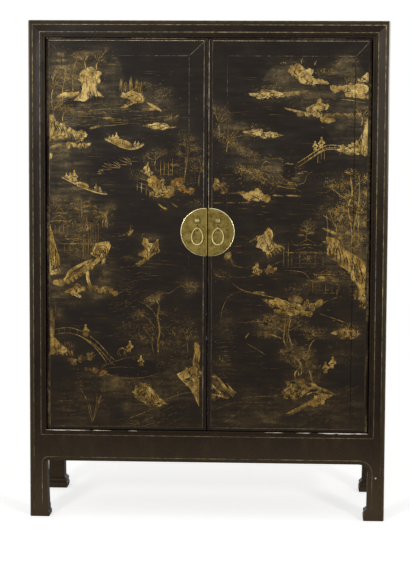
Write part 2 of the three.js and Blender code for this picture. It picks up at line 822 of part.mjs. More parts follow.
function pullEye(side) {
  const nose = eyeHoleRadius + eyeWall;
  return loop(side * fittingOffset, plateHeight + pullAxisRise, eyeWidth, eyeHeight, nose,
    pullAxisReach + nose, eyeHoleRadius, pullAxisReach);
}

// An egg-shaped hanging ring, thin where it passes through the eye and thicker at the bottom: a ring of
// plain proportions whose every point is moved out to the egg's line and to the bar's own radius there
function pullRing(side) {
  const ringShares = { around: 2, bar: 1 };
  const geometry = new THREE.TorusGeometry(ringShares.around, ringShares.bar, pullSideSteps, pullSteps);
  const position = geometry.getAttribute('position');
  for (let i = 0; i < position.count; i += 1) {
    const angle = Math.atan2(position.getX(i), position.getY(i));
    const outward = Math.hypot(position.getX(i), position.getY(i)) - ringShares.around;
    const drop = (1 - Math.cos(angle)) / 2;
    const bar = pullTopRadius + (pullBottomRadius - pullTopRadius) * drop * drop;
    const halfSpan = pullHalfWidth * (1 - pullEggShare * Math.cos(angle));
    const normal = new THREE.Vector2(Math.sin(angle) / pullHalfWidth, Math.cos(angle) / (pullLength / 2));
    normal.normalize();
    position.setXYZ(
      i,
      side * fittingOffset + halfSpan * Math.sin(angle) + bar * outward * normal.x,
      plateFace - pullAxisReach - bar * position.getZ(i),
      plateHeight + pullAxisRise - pullLength * drop + bar * outward * normal.y
    );
  }
  return toSolid(geometry);
}

// A domed nail head on the plate
function plateNail(side, [acrossShare, riseShare]) {
  const profile = [
    [0, 0],
    [nailRadius, 0],
    [nailRadius * Math.cos(Math.PI / 6), nailHeadHeight / 2],
    [nailRadius / 2, nailHeadHeight * Math.cos(Math.PI / 6)],
    [0, nailHeadHeight]
  ].map(([radius, rise]) => new THREE.Vector2(radius, rise));
  const head = new THREE.LatheGeometry(profile, nailSteps);
  head.rotateX(Math.PI);
  const x = side * (meetingEdge + plateCentreOffset + acrossShare * plateRadius);
  head.translate(x, plateFace, plateHeight + riseShare * plateRadius);
  return toSolid(head);
}

// The cabinet, piece by piece
const cabinet = new THREE.Group();

function add(name, solid, material) {
  const mesh = new THREE.Mesh(toGeometry(solid), material);
  mesh.name = name;
  cabinet.add(mesh);
}

const sides = [['left', -1], ['right', 1]];
const heights = [['lower', 0], ['upper', 1]];

for (const [sideName, side] of sides) {
  add(`front_${sideName}_post`, post(side, -1), finishes.frame);
  add(`back_${sideName}_post`, post(side, 1), finishes.frame);
  add(`top_${sideName}_rail`, topSideRail(side), finishes.frame);
  add(`${sideName}_apron_rail`, sideApronRail(side), finishes.frame);
  add(`${sideName}_side_panel`, board(...sidePanelCorners(side)), finishes.frame);
  add(`${sideName}_back_panel`, board(...backPanelCorners(side)), finishes.inner);
}
add('top_front_rail', topFrontRail(), finishes.frame);
add('top_back_rail', topBackRail(), finishes.frame);
add('top_panel', topPanel(), finishes.frame);
add('front_apron_rail', frontApronRail(), finishes.frame);
add('back_lower_rail', backLowerRail(), finishes.inner);
add('back_center_stile', backStile(), finishes.inner);
add('floor_board', floorBoard(), finishes.inner);

crossPieces().forEach(({ brace, batten }, i) => {
  add(`${sides[i][0]}_top_brace`, brace, finishes.inner);
  add(`${sides[i][0]}_floor_batten`, batten, finishes.inner);
});

for (const [heightName, i] of heights) {
  const top = floorTop + shelfHeightShares[i] * (openingTop - floorTop);
  add(`${heightName}_shelf`, shelf(top), finishes.inner);
  for (const [sideName, side] of sides) {
    add(`${heightName}_${sideName}_shelf_bearer`, bearer(side, top - shelfThickness), finishes.inner);
  }
}

for (const [sideName, side] of sides) {
  add(`${sideName}_door_hinge_stile`, hingeStile(side), finishes.door);
  add(`${sideName}_door_meeting_stile`, meetingStile(side), finishes.door);
  add(`${sideName}_door_top_rail`, doorRail(side, 1), finishes.door);
  add(`${sideName}_door_bottom_rail`, doorRail(side, -1), finishes.door);
  add(`${sideName}_door_panel`, doorPanel(side), finishes.door);
  for (const [heightName, i] of heights) {
    const batten = doorBatten(side, battenHeightShares[i], 0);
    add(`${sideName}_door_${heightName}_batten`, batten, finishes.inner);
  }
  add(`${sideName}_lock_plate`, lockPlate(side), finishes.brass);
  add(`${sideName}_lock_knuckle`, lockKnuckle(side), finishes.brass);
  add(`${sideName}_pull_eye`, pullEye(side), finishes.wornBrass);
  add(`${sideName}_pull_ring`, pullRing(side), finishes.wornBrass);
  nailPlaceShares.forEach((place, i) => {
    add(`${sideName}_plate_nail_${i + 1}`, plateNail(side, place), finishes.wornBrass);
  });
}

export default cabinet;
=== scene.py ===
"""Looks of the lacquer cabinet: aged brown-black lacquer, rubbed gilt lines, a raised gilt landscape on
the doors, and the brass of the lock plate. Lengths are millimetres until a mesh is made from them."""

import math
from functools import partial

import bpy
import numpy as np
from mathutils import Matrix, Vector


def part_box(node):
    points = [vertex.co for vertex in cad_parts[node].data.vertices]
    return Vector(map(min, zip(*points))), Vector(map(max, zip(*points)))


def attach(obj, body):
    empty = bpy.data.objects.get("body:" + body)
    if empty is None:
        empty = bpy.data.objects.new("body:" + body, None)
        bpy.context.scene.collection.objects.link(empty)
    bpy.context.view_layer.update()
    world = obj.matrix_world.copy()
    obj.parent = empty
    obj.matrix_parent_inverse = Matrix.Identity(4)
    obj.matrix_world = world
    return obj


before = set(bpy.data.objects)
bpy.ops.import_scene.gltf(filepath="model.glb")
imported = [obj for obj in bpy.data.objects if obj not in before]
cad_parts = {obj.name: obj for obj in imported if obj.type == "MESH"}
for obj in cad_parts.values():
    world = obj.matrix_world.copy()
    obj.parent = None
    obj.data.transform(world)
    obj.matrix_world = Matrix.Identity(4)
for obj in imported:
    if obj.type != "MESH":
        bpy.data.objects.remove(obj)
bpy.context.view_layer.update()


def corners_of(name):
    """Lowest and highest corner of a solid of the frame, in millimetres to a hundredth."""
    return np.round(np.array(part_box(name)) * 1000, 2)


# Sizes of the carcass, taken from the solids or the same as they have
(_, FRONT, _), _ = corners_of("front_left_post")
_, (HALF_WIDTH, BACK, _) = corners_of("back_right_post")
_, (_, _, HEIGHT) = corners_of("top_front_rail")
MIDDLE = (FRONT + BACK) / 2
HALF_DEPTH = (BACK - FRONT) / 2
POST = 56.0
FIRST_RIDGE = 14.0
SECOND_RIDGE = 38.3
RIDGE_SINK = 0.4
FIELD_SINK = 1.2
RAIL_TOP = 300.5
RAIL_BOTTOM = 194.0
RAIL_RIDGE = RAIL_TOP - POST + SECOND_RIDGE
APRON_LINE = RAIL_BOTTOM + 12.5
LEG_LINE = 41.5
LINE_FOOT = 40.0
OUTER_LINE_FOOT = 26

# Sizes of the doors and their fittings
(MEETING_EDGE, DOOR_FRONT, DOOR_BOTTOM), (meeting_inner, _, DOOR_TOP) = corners_of("right_door_meeting_stile")
(hinge_inner, _, _), (HINGE_EDGE, _, _) = corners_of("right_door_hinge_stile")
(_, _, rail_low), (_, _, rail_high) = corners_of("right_door_top_rail")
HINGE_STILE = HINGE_EDGE - hinge_inner
MEETING_STILE = meeting_inner - MEETING_EDGE
DOOR_RAIL = rail_high - rail_low
LINE_SINK = 0.45
PIVOT_INSET = 16
PIVOT_DEPTH = 15
FULL_RELIEF = HINGE_EDGE - 60
LOW_RELIEF = HINGE_EDGE - 45
(_, _, plate_low), (plate_end, _, plate_high) = corners_of("right_lock_plate")
PLATE_Z = (plate_low + plate_high) / 2
PLATE_RADIUS = (plate_high - plate_low) / 2
PLATE_X = plate_end - PLATE_RADIUS
PLATE_THICK = 1.6
RIM_HEIGHT = 3.4
RIM_ROUND = 2

# How far a thin layer lies above what it covers, and how far the edge of a raised one is let in
CLEAR = 0.06
LET_IN = -0.05

SIDES = {"left": -1, "right": 1}


# Colours and shader nodes
def linear(code):
    """Linear colour of an sRGB hex value: each channel follows the sRGB curve back to light."""
    value = np.array([int(code[i:i + 2], 16) for i in (1, 3, 5)]) / 255
    light = np.where(value <= 0.04045, value / 12.92, ((value + 0.055) / 1.055) ** 2.4)
    return (*light, 1.0)


def add_node(tree, kind, *inputs, **settings):
    """A node with its settings. Its inputs come in their own order or, in a dict, by name, each as a value
    or as the socket that feeds it. Gives the node's output, or all of them where it has several."""
    node = tree.nodes.new("ShaderNode" + kind)
    for name, value in settings.items():
        setattr(node, name, value)
    if inputs and isinstance(inputs[0], dict):
        pairs = [(node.inputs[name], value) for name, value in inputs[0].items()]
    else:
        pairs = zip([socket for socket in node.inputs if socket.enabled], inputs)
    for socket, value in pairs:
        if isinstance(value, bpy.types.NodeSocket):
            tree.links.new(value, socket)
        else:
            socket.default_value = value
    outputs = [socket for socket in node.outputs if socket.enabled]
    return outputs[0] if len(outputs) == 1 else node.outputs


def new_material(name):
    """An empty material, and the function that adds a node to it."""
    material = bpy.data.materials.new(name)
    material.use_nodes = True
    material.node_tree.nodes.clear()
    return material, partial(add_node, material.node_tree)


def close_material(add, colour, roughness, height, strength, depth_mm, shine):
    """The surface of a material, with its fine relief, led to the output. Shine holds what a coat needs,
    its index and level of reflection, or how metallic a metal is."""
    normal = add("Bump", {"Height": height, "Strength": strength, "Distance": depth_mm / 1000})
    add("OutputMaterial", add("BsdfPrincipled", {
        "Base Color": colour, "Roughness": roughness, "Normal": normal, **shine}))


def grain(add, size_mm, detail=3.0, stretch=(1, 1, 1), roughness=0.55):
    """Noise whose blotches are about size_mm across on the object, drawn out along some axes."""
    place = add("TexCoord")["Object"]
    mapped = add("Mapping", {"Vector": place, "Scale": stretch})
    return add("TexNoise", {
        "Vector": mapped, "Scale": 1000 / size_mm, "Detail": detail, "Roughness": roughness})[0]


def patches(add, noise, low, high, to_low=0, to_high=1):
    """Patches of a grain as a share: its values from low to high spread over the range to_low to to_high."""
    return add("MapRange", grain(add, *noise), low, high, to_low, to_high)


def product(add, first, *others):
    """All the values multiplied."""
    for other in others:
        first = add("Math", first, other, operation="MULTIPLY")
    return first


def layered(add, ground, *layers):
    """Colours laid over a ground one after another, each as thickly as the share before it says. A colour
    is an sRGB hex value or a socket."""
    colour, *others = [linear(c) if isinstance(c, str) else c for c in (ground, *(c for _, c in layers))]
    for (share, _), layer in zip(layers, others):
        colour = add("Mix", share, colour, layer, data_type="RGBA")
    return colour


# Materials
SATIN = {"IOR": 1.5, "Specular IOR Level": 0.07}
DUST = "#8c8272"
# Paler brown towards the floor
PALER_TOWARDS_FLOOR = "#463a2a"
# Painted sheen: grey laid high up the front posts, where the light falls
PAINTED_SHEEN_GREY = "#4a443b"
# Grey of the very edge: rubbed wear and partly a painted highlight
RUBBED_AND_HIGHLIT_ARRIS = "#746a5a"
# Painted highlight: near-white on the outer edge of the front posts
PAINTED_ARRIS_HIGHLIGHT = "#d8d2c9"


def from_edges(add, x, y, z):
    """Distances to the nearest outer edge of the carcass (the middle one of those to the side, to the
    front or back, and to the top), to the side, and to the top."""
    side = add("Math", HALF_WIDTH, add("Math", x, operation="ABSOLUTE"), operation="SUBTRACT")
    off_middle = add("Math", add("Math", y, MIDDLE, operation="SUBTRACT"), operation="ABSOLUTE")
    depth = add("Math", HALF_DEPTH, off_middle, operation="SUBTRACT")
    top = add("Math", HEIGHT, z, operation="SUBTRACT")
    pairs = (side, depth), (side, top), (depth, top)
    near, *others = [add("Math", *pair, operation="MAXIMUM") for pair in pairs]
    for other in others:
        near = add("Math", near, other, operation="MINIMUM")
    return near, side, top


def lacquer(name, dark, mid, pale, gloss, dust, edge=None):
    """Tree-sap lacquer polished over a black ground and then aged: brown where light has worn it thin,
    with cloudy patches a hand wide, dust in fine scratches, a paler brown that grows towards the floor,
    and a satin gloss that varies. Where an edge colour is given, the bead outside the first ridge and the
    very edge are paler, partly as rubbed wear and partly as a painted highlight. High up the front posts
    the flat beside the second ridge has a painted grey sheen, and the outer edge a painted near-white
    highlight, most of all at the right."""
    material, add = new_material(name)
    millimetres = add("Mapping", {"Vector": add("TexCoord")["Object"], "Scale": (1000, 1000, 1000)})
    across, along, height = add("SeparateXYZ", millimetres)
    cloud = patches(add, (260, 4), 0.38, 0.66)
    wear = patches(add, (34, 5, (1, 1, 0.45)), 0.50, 0.74)
    # The last layer makes the lacquer a paler brown towards the floor.
    colour = layered(add, dark, (cloud, mid), (product(add, wear, 0.45), pale),
                     (patches(add, (3.2, 2), 0.60, 0.74, 0, dust), DUST),
                     (add("MapRange", height, 340, 50, 0, 0.62), PALER_TOWARDS_FLOOR))
    if edge:
        near, side, top = from_edges(add, across, along, height)
        below_mitre = add("MapRange", add("Math", side, top, operation="SUBTRACT"), 0.5, -0.5)
        inward = add("MapRange", side, SECOND_RIDGE + 2.2, SECOND_RIDGE - 0.8, 0.25, 1)
        # Painted sheen: grey on the flat of the front posts high up, stronger to the right, where the light
        # falls.
        painted_sheen_share = product(add, below_mitre, inward, add("MapRange", side, POST + 0.5, POST - 0.5),
                        add("MapRange", height, 1080, 1420),
                        add("MapRange", across, -HALF_WIDTH, HALF_WIDTH, 0.3, 0.72),
                        add("MapRange", cloud, 0, 1, 0.6, 1))
        # The bead and the very edge are paler: rubbed wear, and partly a painted highlight.
        bead = product(add, add("MapRange", near, FIRST_RIDGE - 0.8, FIRST_RIDGE - 2.8),
                       add("MapRange", wear, 0, 1, 0.55, 1))
        # Painted highlight: the outer edge of the front posts near-white high up, most of all at the right.
        bare = product(add, add("MapRange", side, 5, 3), add("MapRange", height, 1000, 1450),
                       add("MapRange", along, DOOR_FRONT, DOOR_FRONT - 2),
                       add("MapRange", across, -HALF_WIDTH, HALF_WIDTH, 0.6, 1))
        rubbed_and_highlit = product(add, add("MapRange", near, 4.4, 1.6), patches(add, (22, 5), 0.40, 0.66, 0.1, 0.9))
        colour = layered(add, colour, (painted_sheen_share, PAINTED_SHEEN_GREY), (bead, edge), (
            add("Math", rubbed_and_highlit, bare, operation="MAXIMUM"), layered(add, RUBBED_AND_HIGHLIT_ARRIS, (bare, PAINTED_ARRIS_HIGHLIGHT))))
    rough = patches(add, (90, 4), 0.3, 0.7, gloss - 0.07, gloss + 0.1)
    close_material(add, colour, rough, grain(add, 9, 4), 0.18, 0.5, SATIN)
    return material


def plain_wood(name):
    """Softwood planed and washed with thin brown stain, as inside a cabinet: dull, with long grain."""
    material, add = new_material(name)
    fibre = patches(add, (7, 4, (0.12, 1, 1)), 0.35, 0.68)
    patch = patches(add, (180, 3), 0.35, 0.65)
    colour = layered(add, "#3a2a1c", (fibre, "#5b442f"), (product(add, patch, 0.5), "#2d2118"))
    close_material(add, colour, 0.68, fibre, 0.25, 0.4, {"IOR": 1.5, "Specular IOR Level": 0.4})
    return material


def gold_dust(name, ground, pale, olive, red, shine, edge=0.16):
    """Gold powder sprinkled on wet lacquer and burnished: each grain shines, the lacquer shows where the
    powder is thin or rubbed away. The cover attribute says how thickly it lies, warm how red it has
    become; the powder is drawn 2 mm wide so that it shows."""
    material, add = new_material(name)
    cover, warm = (add("Attribute", attribute_name=field)["Fac"] for field in ("cover", "warm"))
    level = add("Math", product(add, patches(add, (2.2, 2), 0.3, 0.7), 0.5),
                product(add, patches(add, (15, 4), 0.3, 0.7), 0.5), operation="ADD")
    lifted = add("Math", product(add, cover, 2.2), add("Math", cover, 0.55, 0.38, operation="MULTIPLY_ADD"),
                 operation="MINIMUM")
    lies = add("MapRange", add("Math", lifted, level, operation="SUBTRACT"), -edge, edge)
    warm = add("Math", warm, patches(add, (38, 3), 0.3, 0.7, -0.28, 0.28), operation="ADD")
    gold = layered(add, pale, (add("MapRange", warm, 0.0, 0.5), olive),
                   (add("MapRange", warm, 0.5, 0.85), "#5d4627"), (add("MapRange", warm, 0.85, 1.1), red),
                   (patches(add, (26, 4), 0.48, 0.66, 0, 0.45), "#c8ad68"),
                   (patches(add, (11, 5, (1, 1, 0.5)), 0.44, 0.64, 0, 0.72), "#3a2d18"),
                   (add("MapRange", cover, 0.1, 0.75, 0.85, 0), "#40351f"),
                   (add("MapRange", cover, 0.98, 1.25, 0, 0.8), "#e3c678"))
    close_material(add, layered(add, ground, (lies, gold)), add("MapRange", lies, 0, 1, 0.42, 0.5),
                   grain(add, 4, 3), 0.2, 0.4, {"Metallic": product(add, lies, shine), **SATIN})
    return material


def gold_mist(name):
    """Finest gold powder blown on so thinly that single grains can't be told apart: a dull veil over the
    lacquer, uneven at the width of a brush, greenish grey where thin and browner where thick."""
    material, add = new_material(name)
    cover, warm = (add("Attribute", attribute_name=field)["Fac"] for field in ("cover", "warm"))
    lies = product(add, cover, patches(add, (24, 5, (0.35, 1, 1.5), 0.65), 0.3, 0.7, 0.35, 1.5),
                   patches(add, (5, 4, (0.6, 1, 1), 0.7), 0.3, 0.7, 0.6, 1.3))
    veil = layered(add, "#57503f", (add("MapRange", warm, 0.35, 0.55), "#58472b"),
                   (add("MapRange", lies, 0.1, 0.8), "#8a744a"))
    colour = layered(add, "#19130e", (add("MapRange", lies, 0, 1), veil))
    shine = {"Metallic": product(add, lies, 0.2), **SATIN}
    close_material(add, colour, 0.44, grain(add, 9, 4), 0.18, 0.5, shine)
    return material


def brass(name, dark, mid, pale, rough, mottle_mm, parts):
    """Sheet and cast brass gone olive with age, rubbed yellow where hands reach it, and stained brown: the
    stains are as wide as the mottling divided into so many parts."""
    material, add = new_material(name)
    patch = patches(add, (mottle_mm, 5), 0.36, 0.66)
    stains = patches(add, (mottle_mm / parts, 3), 0.55, 0.72, 0, 0.7)
    colour = layered(add, mid, (patch, pale), (stains, dark))
    close_material(add, colour, add("MapRange", patch, 0, 1, rough + 0.08, rough - 0.06),
                   grain(add, mottle_mm / 3, 4), 0.22, 0.5, {"Metallic": 1.0})
    return material


def pale_ground(name):
    """Chalk and clay ground under the lacquer, bare where a chip has fallen: matt and off-white."""
    material, add = new_material(name)
    colour = layered(add, "#b6a894", (patches(add, (5, 3), 0.35, 0.65), "#d9d0c0"))
    close_material(add, colour, 0.85, grain(add, 3, 3), 0.4, 0.4, {"IOR": 1.5})
    return material


# The frame's edge colour is the paler bead: rubbed wear, and partly a painted highlight.
FRAME_LACQUER = lacquer("aged_brown_black_lacquer_frame", "#170f08", "#20160c", "#302415", 0.38, 0.14,
                        "#39301f")
DOOR_LACQUER = lacquer("aged_black_lacquer_doors", "#17110d", "#1f1611", "#281e16", 0.40, 0.10)
INNER_WOOD = plain_wood("stained_softwood_inside")
LINE_GOLD = gold_dust("burnished_gold_lines", "#2c2418", "#a09780", "#766b52", "#6b5534", 0.45, 0.4)
PICTURE_GOLD = gold_dust("sprinkled_gold_landscape", "#19120d", "#a78f5a", "#86672b", "#86581a", 0.45)
MIST_GOLD = gold_mist("thin_gold_mist_of_the_landscape")
# Pale rubbed lacquer: wear over the joints, and painted highlights and painted light on the door edges
RUBBED_WEAR_AND_PAINTED_LIGHT = gold_dust("rubbed_lacquer_and_painted_light", "#231b16", "#a2998c", "#6b5e4a", "#6b5e4a", 0.0)
PLATE_BRASS = brass("aged_brass_lock_plate", "#382910", "#4b3d19", "#796a39", 0.34, 26, 3)
FITTING_BRASS = brass("rubbed_brass_fittings", "#6b5c35", "#9d8f58", "#d6c990", 0.27, 9, 6)
NAIL_BRASS = brass("tarnished_brass_nails", "#3a2f16", "#54481f", "#6f6233", 0.40, 5, 4)
KNUCKLE_BRASS = brass("worn_brass_knuckles_and_eyes", "#5f5431", "#83774a", "#ada06c", 0.54, 9, 5)
WORN_BRASS = brass("worn_edge_of_brass", "#4d4120", "#685a2e", "#8d7f4c", 0.36, 16, 4)
# Pale polished brass of the plate's rim: partly worn bright, partly a painted highlight
RIM_BRASS_PAINTED_HIGHLIGHT = brass("polished_brass_rim_painted_highlight", "#857748", "#b9ab78", "#e6dbb4", 0.24, 16, 5)
PALE_GROUND = pale_ground("chalk_ground_in_chips")
# Near-black lacquer: painted shadow in an open joint
OPEN_JOINT_PAINTED_SHADOW = lacquer("painted_shadow_in_an_open_joint", "#060403", "#090605", "#100c08", 0.8, 0.0)

INSIDE = ("batten", "bearer", "shelf", "brace", "floor", "back_lower", "back_center", "back_panel")
FINISHES = ((("plate_nail",), NAIL_BRASS), (("knuckle", "eye"), KNUCKLE_BRASS), (("pull",), FITTING_BRASS),
            (("lock_plate",), PLATE_BRASS), (INSIDE, INNER_WOOD), (("_door_",), DOOR_LACQUER),
            (("",), FRAME_LACQUER))

# Each solid gets the first finish that has one of its words in the solid's name
for node_name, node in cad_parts.items():
    finish = next(finish for words, finish in FINISHES if any(word in node_name for word in words))
    node.data.materials.clear()
    node.data.materials.append(finish)


# Surfaces worked out as whole arrays
def flow(knots, steps=6):
    """Smooth line through the knots: between two of them it is the cubic that leaves each along half the
    step between its neighbours."""
    k = np.asarray(knots, float)
    k = np.vstack([2 * k[:1] - k[1:2], k, 2 * k[-1:] - k[-2:-1]])
    t = np.linspace(0, 1, steps, endpoint=False)[None, :, None]
    a, b, c, d = (k[i:len(k) - 3 + i, None] for i in range(4))
    line = b + 0.5 * t * (c - a + t * (2 * a - 5 * b + 4 * c - d + t * (3 * (b - c) + d - a)))
    return np.vstack([line.reshape(-1, k.shape[1]), k[-2:-1]])


def grid_faces(rows, columns):
    """Quads between the neighbouring points of a grid."""
    row, column = np.meshgrid(np.arange(rows - 1), np.arange(columns - 1), indexing="ij")
    corner = (row * columns + column).ravel()
    return np.stack([corner, corner + 1, corner + columns + 1, corner + columns], 1)


def looking(points, faces, outward):
    """The faces, with those turned round whose normal leans away from the outward direction."""
    a, b, c = (points[faces[:, i]] for i in range(3))
    lean = np.cross(b - a, c - a) @ np.asarray(outward, float)
    return np.where((lean < 0)[:, None], faces[:, ::-1], faces)


def make_piece(name, body, finish, points, face_sets, **fields):
    """Smooth mesh of points in millimetres, riding on a body; fields are numbers kept at every point."""
    mesh = bpy.data.meshes.new(name)
    faces = [face for group in face_sets for face in group.tolist()]
    mesh.from_pydata((np.asarray(points) / 1000).tolist(), [], faces)
    for key, values in fields.items():
        mesh.attributes.new(key, "FLOAT", "POINT").data.foreach_set("value", np.asarray(values, np.float32))
    mesh.polygons.foreach_set("use_smooth", np.full(len(faces), True))
    mesh.materials.append(finish)
    mesh.validate()
    piece = bpy.data.objects.new(name, mesh)
    bpy.context.scene.collection.objects.link(piece)
    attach(piece, body)


def grid_piece(name, body, finish, grid, outward, **fields):
    """Piece whose points are a grid of rows and columns, facing outward."""
    points = grid.reshape(-1, 3)
    make_piece(name, body, finish, points, [looking(points, grid_faces(*grid.shape[:2]), outward)], **fields)


class Relief:
    """Raised strokes and patches on the front of a door, gathered as whole arrays: where they are across
    and up the door, how far they rise from it, how thickly the gold covers them and how red it is. What
    reaches past the limits given as lowest and highest across and up is cut off there, and what is near
    the hinge lies lower, to clear the post when the door stands open."""

    def __init__(self, limits=None):
        self.points, self.cover, self.warm, self.quads, self.triangles, self.count = [], [], [], [], [], 0
        self.limits, self.clouds, self.washes = limits, [], []

    def put(self, across, up, rise, cover, warm, quads=None, triangles=None):
        """Adds points and the faces between them, which count from the first of these points."""
        if self.limits:
            across = np.clip(across, self.limits[0], self.limits[1])
            up = np.clip(up, self.limits[2], self.limits[3])
            rise = rise * np.interp(np.abs(across), [FULL_RELIEF, LOW_RELIEF], [1, 0.6])
        fields = [field.ravel() for field in np.broadcast_arrays(across, up, rise, cover, warm)]
        self.points.append(np.stack([fields[0], DOOR_FRONT - fields[2], fields[1]], 1))
        self.cover.append(fields[3])
        self.warm.append(fields[4])
        for store, faces in ((self.quads, quads), (self.triangles, triangles)):
            if faces is not None:
                store.append(faces + self.count)
        self.count += len(fields[0])

    def draw(self, motif, *rows, **same):
        """The motif once for each row of its places, sizes and looks."""
        for row in rows:
            motif(self, *row, **same)

    def stroke(self, knots, width, rise, cover, warm, base=LET_IN, ends=0.5, steps=6):
        """Brush stroke: a low arch of three points carried along a smooth line, as wide as the sine of
        the share along it to the power of ends. Several numbers for cover change it along the stroke."""
        line = flow(knots, steps)
        run = np.gradient(line, axis=0)
        run /= np.hypot(run[:, :1], run[:, 1:]) + 1e-9
        side = np.stack([-run[:, 1], run[:, 0]], 1)
        share = np.linspace(0, 1, len(line))
        swell = 0.08 + 0.92 * np.sin(np.pi * share) ** ends
        offset = np.array([-1.0, 0.0, 1.0])
        grid = line[:, None] + side[:, None] * (offset[None, :, None] * (width / 2 * swell)[:, None, None])
        height = base + rise * swell[:, None] * (1 - np.abs(offset))
        cover = np.atleast_1d(cover)
        thick = np.interp(share, np.linspace(0, 1, len(cover)), cover)[:, None]
        self.put(grid[..., 0], grid[..., 1], height, thick, warm, quads=grid_faces(len(line), 3))

    def mound(self, x, z, outline, lift, cover, warm, soft=0):
        """Flat-topped mound: rings of the outline shrunk towards its middle, the top reached within a
        tenth of the way in. The cover runs from the lowest to the highest point and thins at the very rim
        by the share soft."""
        rings = np.array([1.0, 0.94, 0.8, 0.6, 0.38, 0.18])[:, None]
        up = z + rings * outline[:, 1]
        across = x + rings * outline[:, 0]
        height = LET_IN + lift * np.clip((1 - rings) / 0.06, 0, 1) ** 0.5 * (1 + 0.12 * (1 - rings))
        share = (up - up.min()) / (np.ptp(up) + 1e-9)
        thick = np.interp(share, [0, 1], np.broadcast_to(cover, 2)) * (1 - soft * rings ** 10)
        count = outline.shape[0]
        row, column = np.meshgrid(np.arange(len(rings) - 1), np.arange(count), indexing="ij")
        after = (column + 1) % count
        quads = np.stack([row * count + column, row * count + after, (row + 1) * count + after,
                          (row + 1) * count + column], -1).reshape(-1, 4)
        last = (len(rings) - 1) * count + np.arange(count)
        triangles = np.stack([last, np.roll(last, -1), np.full(count, len(rings) * count)], 1)
        self.put(np.append(across, x), np.append(up, z),
                 np.append(np.broadcast_to(height, up.shape), LET_IN + lift * 1.12),
                 np.append(thick, thick[-1].mean()), warm, quads=quads, triangles=triangles)

    def leaves(self, x, z, angle, length, width, rise, cover, warm, base=LET_IN):
        """Many small leaves at once: each is a slim diamond about its own place and angle, with its
        middle raised."""
        x, z, angle, length, width, cover = np.broadcast_arrays(x, z, angle, length, width, cover)
        along = np.array([1, 0, -1, 0, 0]) / 2 * length[:, None]
        beside = np.array([0, 1, 0, -1, 0]) / 2 * width[:, None]
        turn, tilt = np.cos(angle)[:, None], np.sin(angle)[:, None]
        height = np.broadcast_to(base + rise * np.array([0, 0, 0, 0, 1.0]), along.shape)
        first = np.arange(len(x))[:, None, None] * 5
        fan = np.array([[0, 1, 4], [1, 2, 4], [2, 3, 4], [3, 0, 4]])
        self.put(x[:, None] + along * turn - beside * tilt, z[:, None] + along * tilt + beside * turn,
                 height, cover[:, None] + np.zeros(5), warm, triangles=(first + fan).reshape(-1, 3))

    def finish(self, name, body, material):
        """The piece of what was gathered: its cover a little thinner and its gold redder lower down."""
        points = np.vstack(self.points)
        worn = np.interp(points[:, 2], [DOOR_BOTTOM, 1200], [0.92, 1.0])
        redder = np.interp(points[:, 2], [DOOR_BOTTOM, 900, 1300], [0.26, 0.16, 0.0])
        groups = [looking(points, np.vstack(faces), (0, -1, 0)) for faces in (self.quads, self.triangles)
                  if faces]
        make_piece(name, body, material, points, groups, cover=np.concatenate(self.cover) * worn,
                   warm=np.concatenate(self.warm) + redder)


# Gilt lines on the ridges and in the grooves
def carried(line, offsets, rises, closed):
    """A profile carried along straight runs: it is moved sideways by its offsets, and at each corner by
    as much more as the mitre needs. Gives the places along the face and the rises."""
    line = np.asarray(line, float)
    ahead = np.roll(line, -1, 0) - line
    if not closed:
        ahead[-1] = ahead[-2]
    ahead /= np.hypot(ahead[:, :1], ahead[:, 1:])
    behind = np.roll(ahead, 1, 0)
    if not closed:
        behind[0] = ahead[0]
    normal_ahead = np.stack([-ahead[:, 1], ahead[:, 0]], 1)
    normal_behind = np.stack([-behind[:, 1], behind[:, 0]], 1)
    mitre = normal_ahead + normal_behind
    mitre /= (mitre * normal_ahead).sum(1, keepdims=True)
    places = line[:, None] + mitre[:, None] * np.asarray(offsets)[None, :, None]
    if closed:
        places = np.concatenate([places, places[:1]])
    return places, np.broadcast_to(rises, places.shape[:2])


def divided(line, step, closed):
    """The line with points put in along its runs, about a step apart."""
    line = np.asarray(line, float)
    ends = np.roll(line, -1, 0) if closed else line[1:]
    starts = line if closed else line[:-1]
    counts = np.maximum(1, np.round(np.hypot(*(ends - starts).T) / step).astype(int))
    runs = [a + (b - a) * np.linspace(0, 1, n, endpoint=False)[:, None]
            for a, b, n in zip(starts, ends, counts)]
    return np.vstack(runs + ([] if closed else [line[-1:]]))


def worn_cover(count, middle, swing, seed):
    """Cover that wanders along a line: the sum of a few sines of random phase and wave length."""
    rng = np.random.default_rng(seed)
    place = np.arange(count)[:, None]
    waves = rng.uniform(0.05, 0.7, 9)
    sines = np.sin(place * waves + rng.uniform(0, 6.28, 9)).sum(1) / 3
    return np.clip(middle + swing * sines, 0.03, 1.0)


def gilt_line(name, body, face, line, offsets, sinks, closed, middle, swing, seed, low_share, warm=0.3):
    """A gilt strip laid along a face: the profile of offsets and sinks carried along the line, its cover
    thinner near the floor. The face is front, left or right."""
    path = divided(line, 22, closed)
    places, sink = carried(path, offsets, np.asarray(sinks, float), closed)
    cover = worn_cover(len(path), middle, swing, seed)
    if closed:
        cover = np.append(cover, cover[0])
    up = places[..., 1]
    cover = cover[:, None] * np.interp(up, [0, HEIGHT], [low_share, 1.0])
    if face == "front":
        points = np.stack([places[..., 0], FRONT + sink, up], -1)
        outward = (0, -1, 0)
    else:
        sign = SIDES[face]
        points = np.stack([sign * (HALF_WIDTH - sink), places[..., 0], up], -1)
        outward = (sign, 0, 0)
    grid_piece(name, body, LINE_GOLD, points, outward, cover=cover.ravel(), warm=np.full(cover.size, warm))


RIDGE = ([-1.35, -0.75, 0.75, 1.35], [FIELD_SINK - 0.1, RIDGE_SINK - 0.15, RIDGE_SINK - 0.15,
                                      FIELD_SINK - 0.1])
GROOVE = ([-0.85, 0.85], [FIELD_SINK + 0.25, FIELD_SINK + 0.25])


